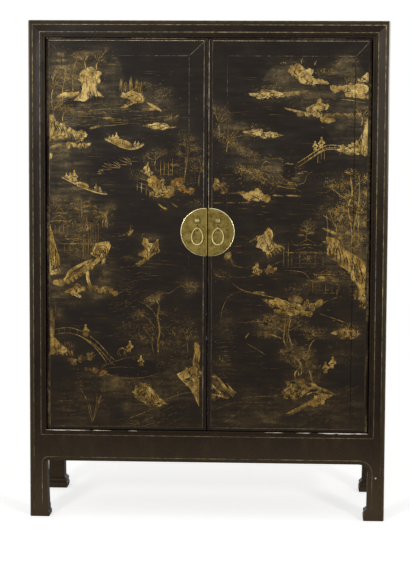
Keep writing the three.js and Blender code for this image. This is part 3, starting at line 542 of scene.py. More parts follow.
def apron_line(half_length, middle, radii):
    """Line up a leg, round the bracket and along the apron: arcs about the corner's middle."""
    halves = []
    for sign, radius in zip((-1, 1), radii):
        radius = radius + APRON_LINE - RAIL_BOTTOM
        turn = np.linspace(0, math.pi / 2, 9)
        inset = LEG_LINE + radius * (1 - np.cos(turn))
        rise = APRON_LINE - radius * (1 - np.sin(turn))
        half = np.stack([middle + sign * (half_length - np.append(LEG_LINE, inset)),
                         np.append(LINE_FOOT, rise)], 1)
        halves.append(half if sign < 0 else half[::-1])
    return np.vstack(halves)


def framing_lines(face, half_length, middle, radii, seed):
    """The gilt lines of one side of the carcass: one up the first ridge of a post, along the top and down
    again, one round the opening on the second ridge, and one in the groove of the legs and apron."""
    first = half_length - FIRST_RIDGE
    second = half_length - SECOND_RIDGE
    outer = [(middle - first, OUTER_LINE_FOOT), (middle - first, HEIGHT - FIRST_RIDGE),
             (middle + first, HEIGHT - FIRST_RIDGE), (middle + first, OUTER_LINE_FOOT)]
    inner = [(middle - second, RAIL_RIDGE), (middle - second, HEIGHT - SECOND_RIDGE),
             (middle + second, HEIGHT - SECOND_RIDGE), (middle + second, RAIL_RIDGE)]
    gilt_line(f"{face}_outer_gilt_line", "carcass", face, outer, *RIDGE, False, 0.62, 0.16, seed, 0.4)
    gilt_line(f"{face}_inner_gilt_line", "carcass", face, inner, *RIDGE, True, 0.6, 0.16, seed + 1, 0.45)
    gilt_line(f"{face}_apron_gilt_line", "carcass", face, apron_line(half_length, middle, radii),
              *GROOVE, False, 0.62, 0.2, seed + 2, 0.8)


framing_lines("front", HALF_WIDTH, 0, (7, 30), 11)
framing_lines("left", HALF_DEPTH, MIDDLE, (30, 30), 21)
framing_lines("right", HALF_DEPTH, MIDDLE, (30, 30), 31)


def door_lines(name, side, covers):
    """The gilt rectangle near a door's edges, one run after another: top, meeting side, bottom, hinge
    side, each worn as its cover says."""
    x_hinge, x_meet = side * (HINGE_EDGE - 11.5), side * (MEETING_EDGE + 12.5)
    z_low, z_high = DOOR_BOTTOM + 10, DOOR_TOP - 8.4
    corners = [(x_hinge, z_high), (x_meet, z_high), (x_meet, z_low), (x_hinge, z_low), (x_hinge, z_high)]
    sink = DOOR_FRONT - FRONT + LINE_SINK
    for i, run in enumerate(("top", "meeting", "lower", "hinge")):
        cover, warm = covers[i]
        gilt_line(f"{name}_door_{run}_gilt_line", f"{name}_door", "front", corners[i:i + 2], [-0.75, 0.75],
                  [sink, sink], False, cover, 0.16, 41 + side + i, 0.9, warm)


door_lines("left", -1, ((0.85, 0.0), (0.62, 0.25), (0.30, 0.4), (0.36, 0.35)))
door_lines("right", 1, ((0.80, 0.2), (0.34, 0.5), (0.42, 0.3), (0.12, 0.4)))


# Motifs of the landscape, drawn on a relief; places and sizes in millimetres on the door
def once_round(count):
    """Even angles once round, without the last that would repeat the first."""
    return np.linspace(0, 2 * np.pi, count, endpoint=False)


def oval(half_width, half_height, turn, edge=1):
    """Points of an oval at the angles: half its width by the cosine, half its height by the sine, each
    times the edge's radius."""
    return np.stack([half_width * edge * np.cos(turn), half_height * edge * np.sin(turn)], 1)


def wavy(count, lobes, depth, seed):
    """Radius of a closed outline at even angles: lobes with notches between them, and waves of several
    finer lengths over them."""
    turn = once_round(count)
    phase = np.random.default_rng(seed).uniform(0, 6.28, 5)
    radius = 1 + depth * (
        np.abs(np.sin(lobes * turn / 2 + phase[0])) - 0.6 + 0.7 * np.sin(2 * turn + phase[4])
        + 0.5 * np.sin(3 * turn + phase[1]) + 0.4 * np.sin(11 * turn + phase[2])
        + 0.3 * np.sin(19 * turn + phase[3]))
    return turn, radius


# Outlines of rocks in a square that reaches from -1 to 1, drawn once and used at many sizes
TALL = ((-0.1, 1), (0.35, 0.9), (0.62, 0.65), (0.5, 0.42), (0.62, 0.18), (0.5, -0.1), (0.52, -0.4),
        (0.95, -0.72), (0.6, -0.82), (0.2, -0.72), (-0.3, -1), (-1, -1), (-0.6, -0.75), (-0.5, -0.45),
        (-0.42, -0.2), (-0.62, 0.1), (-0.75, 0.4), (-0.55, 0.75))
FOOTED = ((-0.3, 0.95), (0.2, 1), (0.7, 0.5), (0.85, 0.1), (0.7, -0.3), (0.2, -0.3), (-0.2, -0.6),
          (-0.7, -0.95), (-1, -0.9), (-0.5, -0.5), (-0.25, -0.1), (-0.6, 0.1), (-0.85, 0.35), (-0.8, 0.75),
          (-0.5, 0.7))
LEAF = ((0.2, 1), (-0.1, 0.95), (-0.35, 0.55), (-0.9, 0.35), (-0.95, 0.1), (-0.8, -0.1), (-0.95, -0.4),
        (-0.55, -0.6), (-0.2, -0.85), (0.1, -1), (0.4, -0.8), (0.95, -0.45), (0.6, -0.2), (0.3, 0.05),
        (0.4, 0.5))
WEDGE = ((-1, 0.3), (-0.6, 0.45), (-0.25, 1), (0.05, 0.45), (0.5, 0.3), (1, -0.1), (0.5, -0.4), (0, -0.75),
         (-0.4, -1), (-0.5, -0.8), (-0.1, -0.4), (-0.5, -0.25), (-0.9, -0.2))
SPIT = ((-1, 0), (-0.75, 0.35), (-0.45, 0.45), (-0.2, 0.95), (0.1, 0.7), (0.35, 0.75), (0.6, 0.4), (1, 0.1),
        (0.8, -0.15), (0.5, -0.35), (0.2, -0.8), (-0.1, -0.55), (-0.4, -0.85), (-0.7, -0.4))
HOOK = ((-0.9, -0.1), (-0.8, 0.5), (-0.4, 0.95), (0.8, 1), (0.9, 0.5), (0.6, -0.1), (0.35, -0.75), (0, -1),
        (0.25, -0.3), (0.1, 0), (-0.2, -0.4), (-0.5, -0.95), (-0.7, -0.85), (-0.4, -0.3))
CLOUD = ((-1, 0.5), (-0.85, 0.8), (-0.55, 1), (-0.35, 0.85), (-0.2, 0.5), (0.05, 0.7), (0.22, 0.45),
         (0.15, 0.05), (0, -0.1), (0.35, -0.4), (0.7, -0.6), (1, -0.72), (0.6, -0.95), (0.1, -1),
         (-0.3, -0.8), (-0.6, -0.35), (-0.9, 0.1))
BUTTRESS = ((-0.9, 0.75), (-0.4, 1), (0.3, 0.9), (0.9, 0.45), (1, -0.4), (0.75, -1), (0.1, -0.8),
            (-0.6, -0.95), (-0.95, -0.3))
SHOULDER = ((0.62, 0.05), (0.2, 0.3), (-0.35, 0.58), (-0.68, 0.84), (-1, 1), (-0.88, 0.62), (-0.82, 0.28),
            (-0.6, 0.14), (-0.35, -0.14), (0, -0.3), (0.12, -0.42), (0.28, -0.72), (0.4, -0.98),
            (0.54, -1.22), (0.64, -1.15))
CLIFF = ((-1, 1), (-0.6, 0.95), (-0.3, 0.5), (0.1, 0.1), (0.5, -0.3), (1, -0.55), (0.7, -0.9), (-0.1, -1),
         (-1, -0.95))


def contours(page, x, z, outline, rings, high, warm, lift, seed, width):
    """Lines that follow a rock's outline inside it, each at a share of its size: bright for a stretch
    and worn to the lacquer for the next."""
    rng = np.random.default_rng(seed)
    closed = np.vstack([outline, outline[:2]])
    around = np.linspace(0, 2 * np.pi, 24)
    for scale in rings:
        phase = rng.uniform(0, 6.28, 2)
        cover = 0.62 + 0.42 * np.sin(2 * around + phase[0]) + 0.4 * np.sin(5 * around + phase[1])
        page.stroke([x, z] + closed * scale, width, 0.25, high * np.clip(cover, 0.1, 1.15), warm, base=lift,
                    ends=0, steps=1)


def crag(page, shape, x, z, width, height, seed, cover=(0.75, 0.9), warm=0.2, tilt=0.0, flip=1,
         rings=(0.93, 0.7, 0.45)):
    """Large rock: a drawn outline smoothed, made ragged, turned by its tilt and filled; contour lines and
    a few dark folds lie on it."""
    rng = np.random.default_rng(seed)
    drawn = np.array(shape) * [flip * width / 2, height / 2]
    line = flow(np.vstack([drawn, drawn[:1]]), 5)[:-1]
    around = once_round(len(line))
    phase = rng.uniform(0, 6.28, 3)
    ragged = 1 + 0.05 * np.sin(13 * around + phase[0]) + 0.04 * np.sin(23 * around + phase[1])
    turned = np.array([[math.cos(tilt), math.sin(tilt)], [-math.sin(tilt), math.cos(tilt)]])
    outline = (line * ragged[:, None]) @ turned
    high = cover[1]
    page.mound(x, z, outline, 0.5, cover, warm, 0.5)
    page.clouds.append((x, z, width * 0.9, height * 0.9, 0.22 * high))
    contours(page, x, z, outline[::2], rings, high, warm - 0.08, 0.5, seed + 1,
             0.012 * (width + height) + 1)
    for _ in range(7):
        start = rng.uniform(-0.5, 0.5, 2) * [width / 2, height / 2]
        bend = start + rng.uniform(-0.14, 0.14) * width * np.array([1, 0]) - [0, 0.18 * height]
        end = bend + [rng.uniform(-0.14, 0.14) * width, -0.14 * height]
        page.stroke(np.array([start, bend, end]) @ turned + [x, z], 2.6, 0.15, (0.22, 0.08), warm + 0.2,
                    base=0.62)


def rock(page, x, z, width, height, seed, lean=0.0, taper=0.2, cover=(0.75, 0.95), warm=0.2, folds=4,
         lift=0.5):
    """Small rock: a lobed body, thin below and thick at its crest, with lobes in front of it and contour
    lines on each."""
    rng = np.random.default_rng(seed)
    turn, edge = wavy(64, 5 + seed % 4, 0.13, seed)
    u, v = edge * np.cos(turn), edge * np.sin(turn)
    outline = np.stack([width / 2 * u * (1 + taper * v) + lean * v, height / 2 * v], 1)
    low, high = cover
    page.mound(x, z, outline, lift, (low * 0.72, high * 0.85), warm + 0.1, 0.5)
    page.clouds.append((x, z, width * 0.9, height * 0.9, 0.22 * high))
    contours(page, x, z, outline[::3], (0.9,), high, warm - 0.05, lift, seed + 1,
             0.015 * (width + height) + 0.8)
    for i in range(folds):
        v = rng.uniform(-0.6, 0.6)
        u = rng.uniform(-0.55, 0.55)
        size = rng.uniform(0.32, 0.5)
        turn, edge = wavy(26, 3 + i % 2, 0.13, seed * 11 + i)
        lobe = oval(width / 2 * size, height / 2 * size, turn, edge)
        place_x, place_z = x + width / 2 * u * (1 + taper * v) + lean * v, z + height / 2 * v
        page.mound(place_x, place_z, lobe, lift + 0.08 + 0.05 * i, (low * 0.5, min(1.1, high * 1.08)),
                   warm + rng.normal(0, 0.06))
        contours(page, place_x, place_z, lobe[::2], (0.94,), high, warm - 0.05, lift + 0.12 + 0.05 * i,
                 seed + i, 0.02 * width + 0.7)


def ledge(page, x, z, reach, width, angle=0.0, cover=(0.95, 0.5), warm=0.2, bend=0.0):
    """Spit of land: a fat pointed stroke from its place outwards, a fringe of short strokes under it and
    a thin bright line along its edge."""
    share = np.array([0, 0.3, 0.65, 1.0])
    turned = np.array([math.cos(angle), math.sin(angle)])
    knots = np.array([x, z]) + share[:, None] * reach * turned
    knots[:, 1] += bend * np.sin(np.pi * share)
    page.stroke(knots, width, 0.5, (cover[0] * 0.92, cover[1] * 0.85), warm, ends=0.8)
    page.stroke(knots + [0.04 * reach, -0.5 * width], 1.8, 0.3, cover, warm)
    place = np.linspace(0.1, 0.85, 7)
    root = np.array([x, z]) + place[:, None] * reach * turned
    page.leaves(root[:, 0] + 2, root[:, 1] - 0.36 * width, angle - 0.9 + 0.3 * np.sin(7 * place),
                0.5 * width + 3, 2.2, 0.3, cover[0] * 0.7, warm + 0.1)
    page.clouds.append((x + reach / 2 * turned[0], z + reach / 2 * turned[1], 0.8 * reach, 18,
                        0.2 * cover[0]))


def pile(page, x, z, width, height, count, seed, slope=0.0, cover=(0.7, 0.95), warm=0.2):
    """Heap of small rocks set side by side, each a little lower or higher than the last by the slope."""
    rng = np.random.default_rng(seed)
    for i, share in enumerate(np.linspace(-0.5, 0.5, count)):
        rock(page, x + share * width, z + slope * share + rng.normal(0, 0.08) * height,
             width / count * rng.uniform(1.1, 1.6), height * rng.uniform(0.6, 1.0), seed + 3 * i,
             rng.normal(0, 4), 0.15, cover, warm, 2, 0.35 + 0.1 * (i % 3))


def islet(page, x, z, width, height, seed, cover, warm):
    """Low island: a long pointed body with a ragged shore, small rocks and leaves along its back, and
    dashes of water beside it."""
    turn, edge = wavy(90, 9 + seed % 4, 0.13, seed)
    u = np.cos(turn)
    v = edge * np.sin(turn) * (1 - 0.75 * np.abs(u) ** 2.2) * np.where(np.sin(turn) > 0, 1.0, 0.75)
    page.mound(x, z, np.stack([width / 2 * u, height / 2 * v], 1), 0.45, (cover[0] * 0.85, cover[1] * 0.8),
               warm)
    page.clouds.append((x, z, width * 0.7, height * 1.3, 0.3))
    rng = np.random.default_rng(seed)
    for i in range(5):
        share = rng.uniform(-0.6, 0.6)
        turn, edge = wavy(24, 3, 0.14, seed * 5 + i)
        size = rng.uniform(0.22, 0.4) * height
        page.mound(x + share * width / 2, z + 0.24 * height * (1 - abs(share)),
                   oval(1.7 * size, size, turn, edge), 0.55 + 0.04 * i, (cover[0] * 0.6, cover[1] * 1.15),
                   warm - 0.05)
    tuft(page, x, z + 0.42 * height, 0.7 * width, 0.4 * height, 22, seed, 0.45, 0.35, 6, 0.8)
    for i in range(3):
        start = x + width * (0.3 + 0.18 * i) * (-1) ** i
        low = z - height * (0.5 + 0.2 * i)
        page.stroke([(start, low), (start + 0.16 * width, low - 0.06 * height), (start + 0.3 * width, low)],
                    1.8, 0.25, 0.35, warm + 0.2)


def dust(page, x, z, width, height, cover):
    """Cloud of thinly sprinkled gold, kept for the mist of the whole door."""
    page.clouds.append((x, z, width * 0.75, height * 0.75, cover))


def wash(page, x, z, width, height, cover, taper=0, power=2):
    """Flat wash with a firm edge, kept for the mist: thin gold, or bare lacquer where the cover is below
    zero. It narrows upwards by its taper; a power of two makes it a lens, a higher one squarer."""
    page.washes.append((x, z, width, height, cover, taper, power))


def tuft(page, x, z, width, height, count, seed, cover=0.6, warm=0.3, size=9.0, spread_angle=1.2):
    """Leaves or needles scattered in an oval, thicker towards its middle, most of them standing up."""
    rng = np.random.default_rng(seed)
    count = int(count * 1.5)
    around, out = rng.uniform(0, 2 * np.pi, count), rng.uniform(0, 1, count) ** 0.6
    page.leaves(x + width / 2 * out * np.cos(around), z + height / 2 * out * np.sin(around),
                np.pi / 2 + rng.normal(0, spread_angle, count), 0.85 * size * rng.uniform(0.6, 1.3, count),
                size * 0.27 * rng.uniform(0.7, 1.3, count), 0.3, cover * rng.uniform(0.55, 1.25, count), warm)
    page.clouds.append((x, z, width * 0.75, height * 0.75 + 4, 0.26 * cover + 0.08))


def pine(page, x, z, height, seed, lean=0.0, pads=5, cover=0.5, warm=0.35, spread_width=None):
    """Pine: a wavy trunk that thins upwards, and flat pads of needles at the ends of short branches."""
    rng = np.random.default_rng(seed)
    share = np.linspace(0, 1, 6)
    trunk = np.stack([x + lean * share + 0.03 * height * np.sin(5 * share + seed), z + height * share], 1)
    page.stroke(trunk, 0.014 * height + 1.8, 0.5, (cover + 0.15, cover), warm + 0.05, ends=0.35)
    reach = spread_width or 0.34 * height
    for i in range(pads):
        up = 0.42 + 0.58 * i / max(1, pads - 1)
        sign = (-1) ** (i + seed)
        root = np.array([np.interp(up - 0.08, share, trunk[:, 0]), z + height * (up - 0.08)])
        tip = root + [sign * reach * (1.1 - 0.7 * up) * rng.uniform(0.8, 1.1), 0.07 * height]
        page.stroke([root, (root + tip) / 2 + [0, -0.015 * height], tip], 2.2, 0.4, cover, warm)
        tuft(page, tip[0], tip[1] + 0.01 * height, reach * (1.35 - 0.7 * up), 0.085 * height, 26,
             seed * 7 + i, cover, warm, 0.035 * height + 4, 0.9)


def tree(page, x, z, height, width, seed, lean=0.0, cover=0.42, warm=0.45, count=110):
    """Broad-leaved tree: a forked trunk, thin branches that part again, and a crown of small leaves in a
    few hanging clumps."""
    rng = np.random.default_rng(seed)
    fork = np.array([x + 0.4 * lean, z + 0.45 * height])
    page.stroke([(x, z), (x + 0.1 * lean + rng.normal(0, 2), z + 0.25 * height), fork],
                0.014 * height + 2.4, 0.5, cover + 0.15, warm, ends=0.3)
    for i, share in enumerate((-0.42, -0.16, 0.08, 0.3, 0.48)):
        tip = np.array([x + lean + share * width,
                        z + height * (0.84 + 0.12 * rng.normal() - 0.3 * share ** 2)])
        bend = (fork + tip) / 2 + rng.normal(0, 0.03 * height, 2)
        page.stroke([fork, bend, tip], 2.0, 0.35, cover + 0.1, warm)
        page.stroke([bend, (bend + tip) / 2 + [share * 0.2 * width, 0.04 * height],
                     tip + [share * 0.3 * width, -0.1 * height]], 1.5, 0.3, cover, warm)
        tuft(page, tip[0], tip[1], 0.42 * width, 0.36 * height, count // 5, seed * 5 + i, cover, warm, 6.5,
             1.8)


def blades(page, x, z, ends, width=3.0, cover=(0.7, 0.3), warm=0.3, sag=0.12):
    """Long blades from one root: each bends a little to the side on its way to its tip."""
    for tip_x, tip_z in ends:
        middle = ((x + tip_x) / 2 + sag * (tip_z - z), (z + tip_z) / 2 + 0.1 * abs(tip_z - z))
        page.stroke([(x, z), middle, (tip_x, tip_z)], 0.8 * width, 0.35, cover, warm, ends=0.45)


def hatch(page, seed):
    """Fine brushwork in the mist: thousands of short thin strokes of dull gold round the motifs, most of
    them nearly level, some upright; and long ripples all over the water."""
    rng = np.random.default_rng(seed)
    low_x, high_x, low_z, high_z = page.limits
    clouds = np.array(page.clouds)
    count = np.clip(clouds[:, 2] * clouds[:, 3] * clouds[:, 4] / 20, 6, 340).astype(int)
    x, z, width, height, cover = np.repeat(clouds, count, 0).T
    size = len(x)
    x = x + rng.normal(0, 0.42, size) * width
    z = z + rng.normal(0, 0.42, size) * height
    upright = rng.uniform(0, 1, size) < 0.3
    angle = np.where(upright, np.pi / 2 + rng.normal(0, 0.25, size), rng.normal(0.1, 0.3, size))
    reach = rng.uniform(5, 22, size) * np.where(upright, 0.8, 1.2)
    thick = rng.uniform(0.15, 0.55, size) * (0.75 + cover)
    ripples = 420
    x = np.append(x, rng.uniform(low_x, high_x, ripples))
    z = np.append(z, rng.uniform(low_z, high_z - 60, ripples))
    angle = np.append(angle, rng.normal(0, 0.02, ripples))
    reach = np.append(reach, rng.uniform(30, 120, ripples))
    thick = np.append(thick, rng.uniform(0.12, 0.4, ripples))
    warm = np.append(rng.uniform(0.2, 0.8, size), rng.uniform(0.5, 0.8, ripples))
    inside = ((x - reach / 2 > low_x + 3) & (x + reach / 2 < high_x - 3) & (z - reach / 3 > low_z + 3)
              & (z + reach / 3 < high_z - 12))
    x, z, angle, reach, thick, warm = (values[inside] for values in (x, z, angle, reach, thick, warm))
    page.leaves(x, z, angle, reach, rng.uniform(1.0, 2.0, len(x)), 0.2, thick, np.repeat(warm[:, None], 5, 1))


# Outline of a standing figure in a wide-sleeved robe, as shares of its height from its middle
ROBE = ((-0.17, -0.42), (0, -0.38), (0.2, -0.42), (0.15, -0.12), (0.34, 0), (0.3, 0.12), (0.14, 0.2),
        (0.1, 0.32), (-0.02, 0.36), (-0.12, 0.3), (-0.18, 0.14), (-0.3, 0), (-0.24, -0.08), (-0.13, -0.06))


def figure(page, x, z, height, cover=0.85, warm=0.15, lean=0.0):
    """Small robed figure: a robe with wide sleeves, a sash, and a plain small head under a hat."""
    turned = -1 if lean < 0 else 1
    robe = np.array(ROBE) * [turned * height, height]
    page.mound(x, z + 0.42 * height, robe + [0.1, 0] * robe[:, 1:] * lean, 0.6, (cover * 0.7, cover), warm,
               0.3)
    page.mound(x + lean, z + 0.84 * height, height * 0.07 * oval(1, 1.2, once_round(12)), 0.7, cover, warm)
    page.stroke([(x + lean - 0.1 * height, z + 0.9 * height), (x + lean + 0.1 * height, z + 0.92 * height)],
                0.07 * height, 0.3, cover * 0.8, warm, base=0.4)
    page.stroke([(x - 0.16 * height, z + 0.4 * height), (x + 0.16 * height, z + 0.44 * height)],
                0.08 * height, 0.2, 0.15, warm + 0.3, base=0.62)


def boat(page, x, z, length, drop, sag, depth, roof_height, seed, cover=0.9, warm=0.15):
    """River boat: a slim hull that sags most near its bow, with a bright lower line, a mat roof with hoops
    and windows, and people before and behind it; drop is how much lower the bow lies than the stern, and
    sag, depth and the height of the roof are shares of the length."""
    share = np.linspace(0, 1, 9)
    deck = np.stack([x + length * (share - 0.5),
                     z - drop * share - sag * length * np.sin(np.pi * share ** 1.4) ** 0.8], 1)
    page.stroke(deck, depth * length, 0.6, cover * 0.85, warm, ends=0.35)
    page.stroke(deck + [0, -0.45 * depth * length], 1.8, 0.5, 1.05, 0.0, ends=0.2)
    for half in (deck[:5], deck[4:]):
        page.stroke(half + [0, 0.035 * length], 1.5, 0.4, 0.75, 0.1)
    centre = deck[4] + [-0.05 * length, 0.42 * roof_height * length]
    turn = once_round(30)
    half_roof = roof_height * length / 2
    roof = np.stack([2.2 * half_roof * np.cos(turn),
                     half_roof * (np.maximum(np.sin(turn), -0.7) - 0.5 * np.cos(turn))], 1)
    page.mound(*centre, roof, 0.7, (0.55, 0.9), warm + 0.12)
    page.stroke(centre + roof[:16], 1.8, 0.3, 0.95, 0.05, base=0.7, ends=0.2)
    for place in np.linspace(-1.3, 1.3, 7):
        low = centre + [place * half_roof, (-0.5 - 0.15 * place) * half_roof]
        page.stroke([low, low + [0, (1.3 - 0.4 * place ** 2) * half_roof]], 1.4, 0.25, 0.2, 0.4, base=0.75)
    place, pane = np.linspace(-1, 1, 5), 0.028 * length
    page.leaves(centre[0] + 1.2 * half_roof * place, centre[1] - 0.25 * half_roof * place, np.zeros(5), pane,
                pane, 0.2, 0.1, 0.4, base=0.85)
    for place, size in ((0.12, 0.13), (0.2, 0.2), (0.29, 0.26), (0.76, 0.17), (0.84, 0.13)):
        i = int(round(place * 8))
        figure(page, x + (place - 0.5) * length, deck[i, 1] + 0.02 * length, size * length, cover - 0.05,
               warm, (-1) ** seed * 1.5)
    tuft(page, x - 0.3 * length, deck[2, 1] + 0.14 * length, 0.24 * length, 0.14 * length, 12, seed, 0.6,
         0.25, 5, 1)
    page.clouds.append((x, z - 0.5 * drop, 0.8 * length, 0.26 * length, 0.2))


def bridge(page, knots, gap, feet, posts, cover=0.75, warm=0.25):
    """Plank bridge: two lines that follow one curve, cross planks between them, and legs hanging down."""
    line = flow(knots, 8)
    for shift, width in ((0, 3.2), (-gap, 2.6)):
        page.stroke(line[::4] + [0, shift], width, 0.45, cover, warm, ends=0.25)
    for place in np.linspace(0.08, 0.92, 11):
        x, z = line[int(place * (len(line) - 1))]
        page.stroke([(x, z + 3), (x + 1, z - gap)], 1.8, 0.3, cover * 0.6, warm)
    for place, drop in zip(posts, feet):
        x, z = line[int(place * (len(line) - 1))]
        page.stroke([(x, z - gap), (x - 1, z - gap - drop)], 2.6, 0.35, (cover * 0.8, 0.3), warm)


def pavilion(page, x, z, width, height, cover, warm):
    """Garden house: posts and a rail, under roofs whose eaves turn up at their ends."""
    for place in np.linspace(-0.4, 0.4, 5):
        page.stroke([(x + place * width, z), (x + place * width, z + 0.5 * height)], 2.2, 0.35, cover, warm)
    for rise in (0.02, 0.14, 0.5):
        page.stroke([(x - 0.44 * width, z + rise * height), (x + 0.44 * width, z + rise * height)], 1.8, 0.3,
                    cover * 0.9, warm, ends=0.2)
    for tier in range(2):
        half = width * (0.62 - 0.22 * tier)
        base = z + height * (0.52 + 0.26 * tier)
        page.stroke([(x - half, base + 0.06 * height), (x - 0.7 * half, base), (x, base + 0.03 * height),
                     (x + 0.7 * half, base), (x + half, base + 0.06 * height)], 3.2, 0.45, cover + 0.1, warm)
        page.stroke([(x - 0.7 * half, base + 2), (x - 0.3 * half, base + 0.13 * height),
                     (x, base + 0.2 * height), (x + 0.3 * half, base + 0.13 * height),
                     (x + 0.7 * half, base + 2)], 2.4, 0.4, cover, warm)
        for place in np.linspace(-0.5, 0.5, 7):
            page.stroke([(x + 0.55 * place * half, base + 0.15 * height * (1 - abs(place))),
                         (x + 1.2 * place * half, base + 3)], 1.3, 0.2, cover * 0.7, warm)


def slopes(page, x, z, width, rise, rows, seed, cover=0.35, warm=0.4, gap=16.0):
    """Ground lines of a bank: long thin strokes that climb together, each starting a little later."""
    rng = np.random.default_rng(seed)
    for row in range(rows):
        start = x + rng.uniform(0, 0.2) * width
        end = x + width * rng.uniform(0.8, 1.0)
        low = z - gap * row + rng.normal(0, 2)
        page.stroke([(start, low), (start + 0.33 * (end - start), low + 0.2 * rise),
                     (start + 0.66 * (end - start), low + 0.62 * rise), (end, low + rise)],
                    rng.uniform(1.8, 3.2), 0.3, (cover * rng.uniform(0.7, 1.2), cover * 0.7), warm)


def mist_lines(page, x, z, width, height, count, seed, cover=0.3, warm=0.05):
    """Mist drawn as thin lines: each rises and falls a little as it crosses the water."""
    rng = np.random.default_rng(seed)
    share = np.linspace(0, 1, 6)
    for _ in range(count):
        start, low = x + rng.uniform(-0.5, 0.25) * width, z + rng.uniform(-0.5, 0.5) * height
        sway = rng.uniform(1, 5) * np.sin(rng.uniform(4, 10) * share + rng.uniform(0, 6))
        page.stroke(np.stack([start + rng.uniform(0.15, 0.45) * width * share, low + sway], 1), 1.5, 0.2,
                    cover * rng.uniform(0.6, 1.3), warm, steps=4)


def water(page, x, z, width, height, count, seed, cover=0.25, warm=0.4):
    """Still water: level dashes scattered in a band."""
    rng = np.random.default_rng(seed)
    page.leaves(x + rng.uniform(-0.5, 0.5, count) * width, z + rng.uniform(-0.5, 0.5, count) * height,
                rng.normal(0, 0.03, count), rng.uniform(0.1, 0.32, count) * width,
                rng.uniform(1.2, 2.2, count), 0.2, cover * rng.uniform(0.6, 1.3, count), warm)


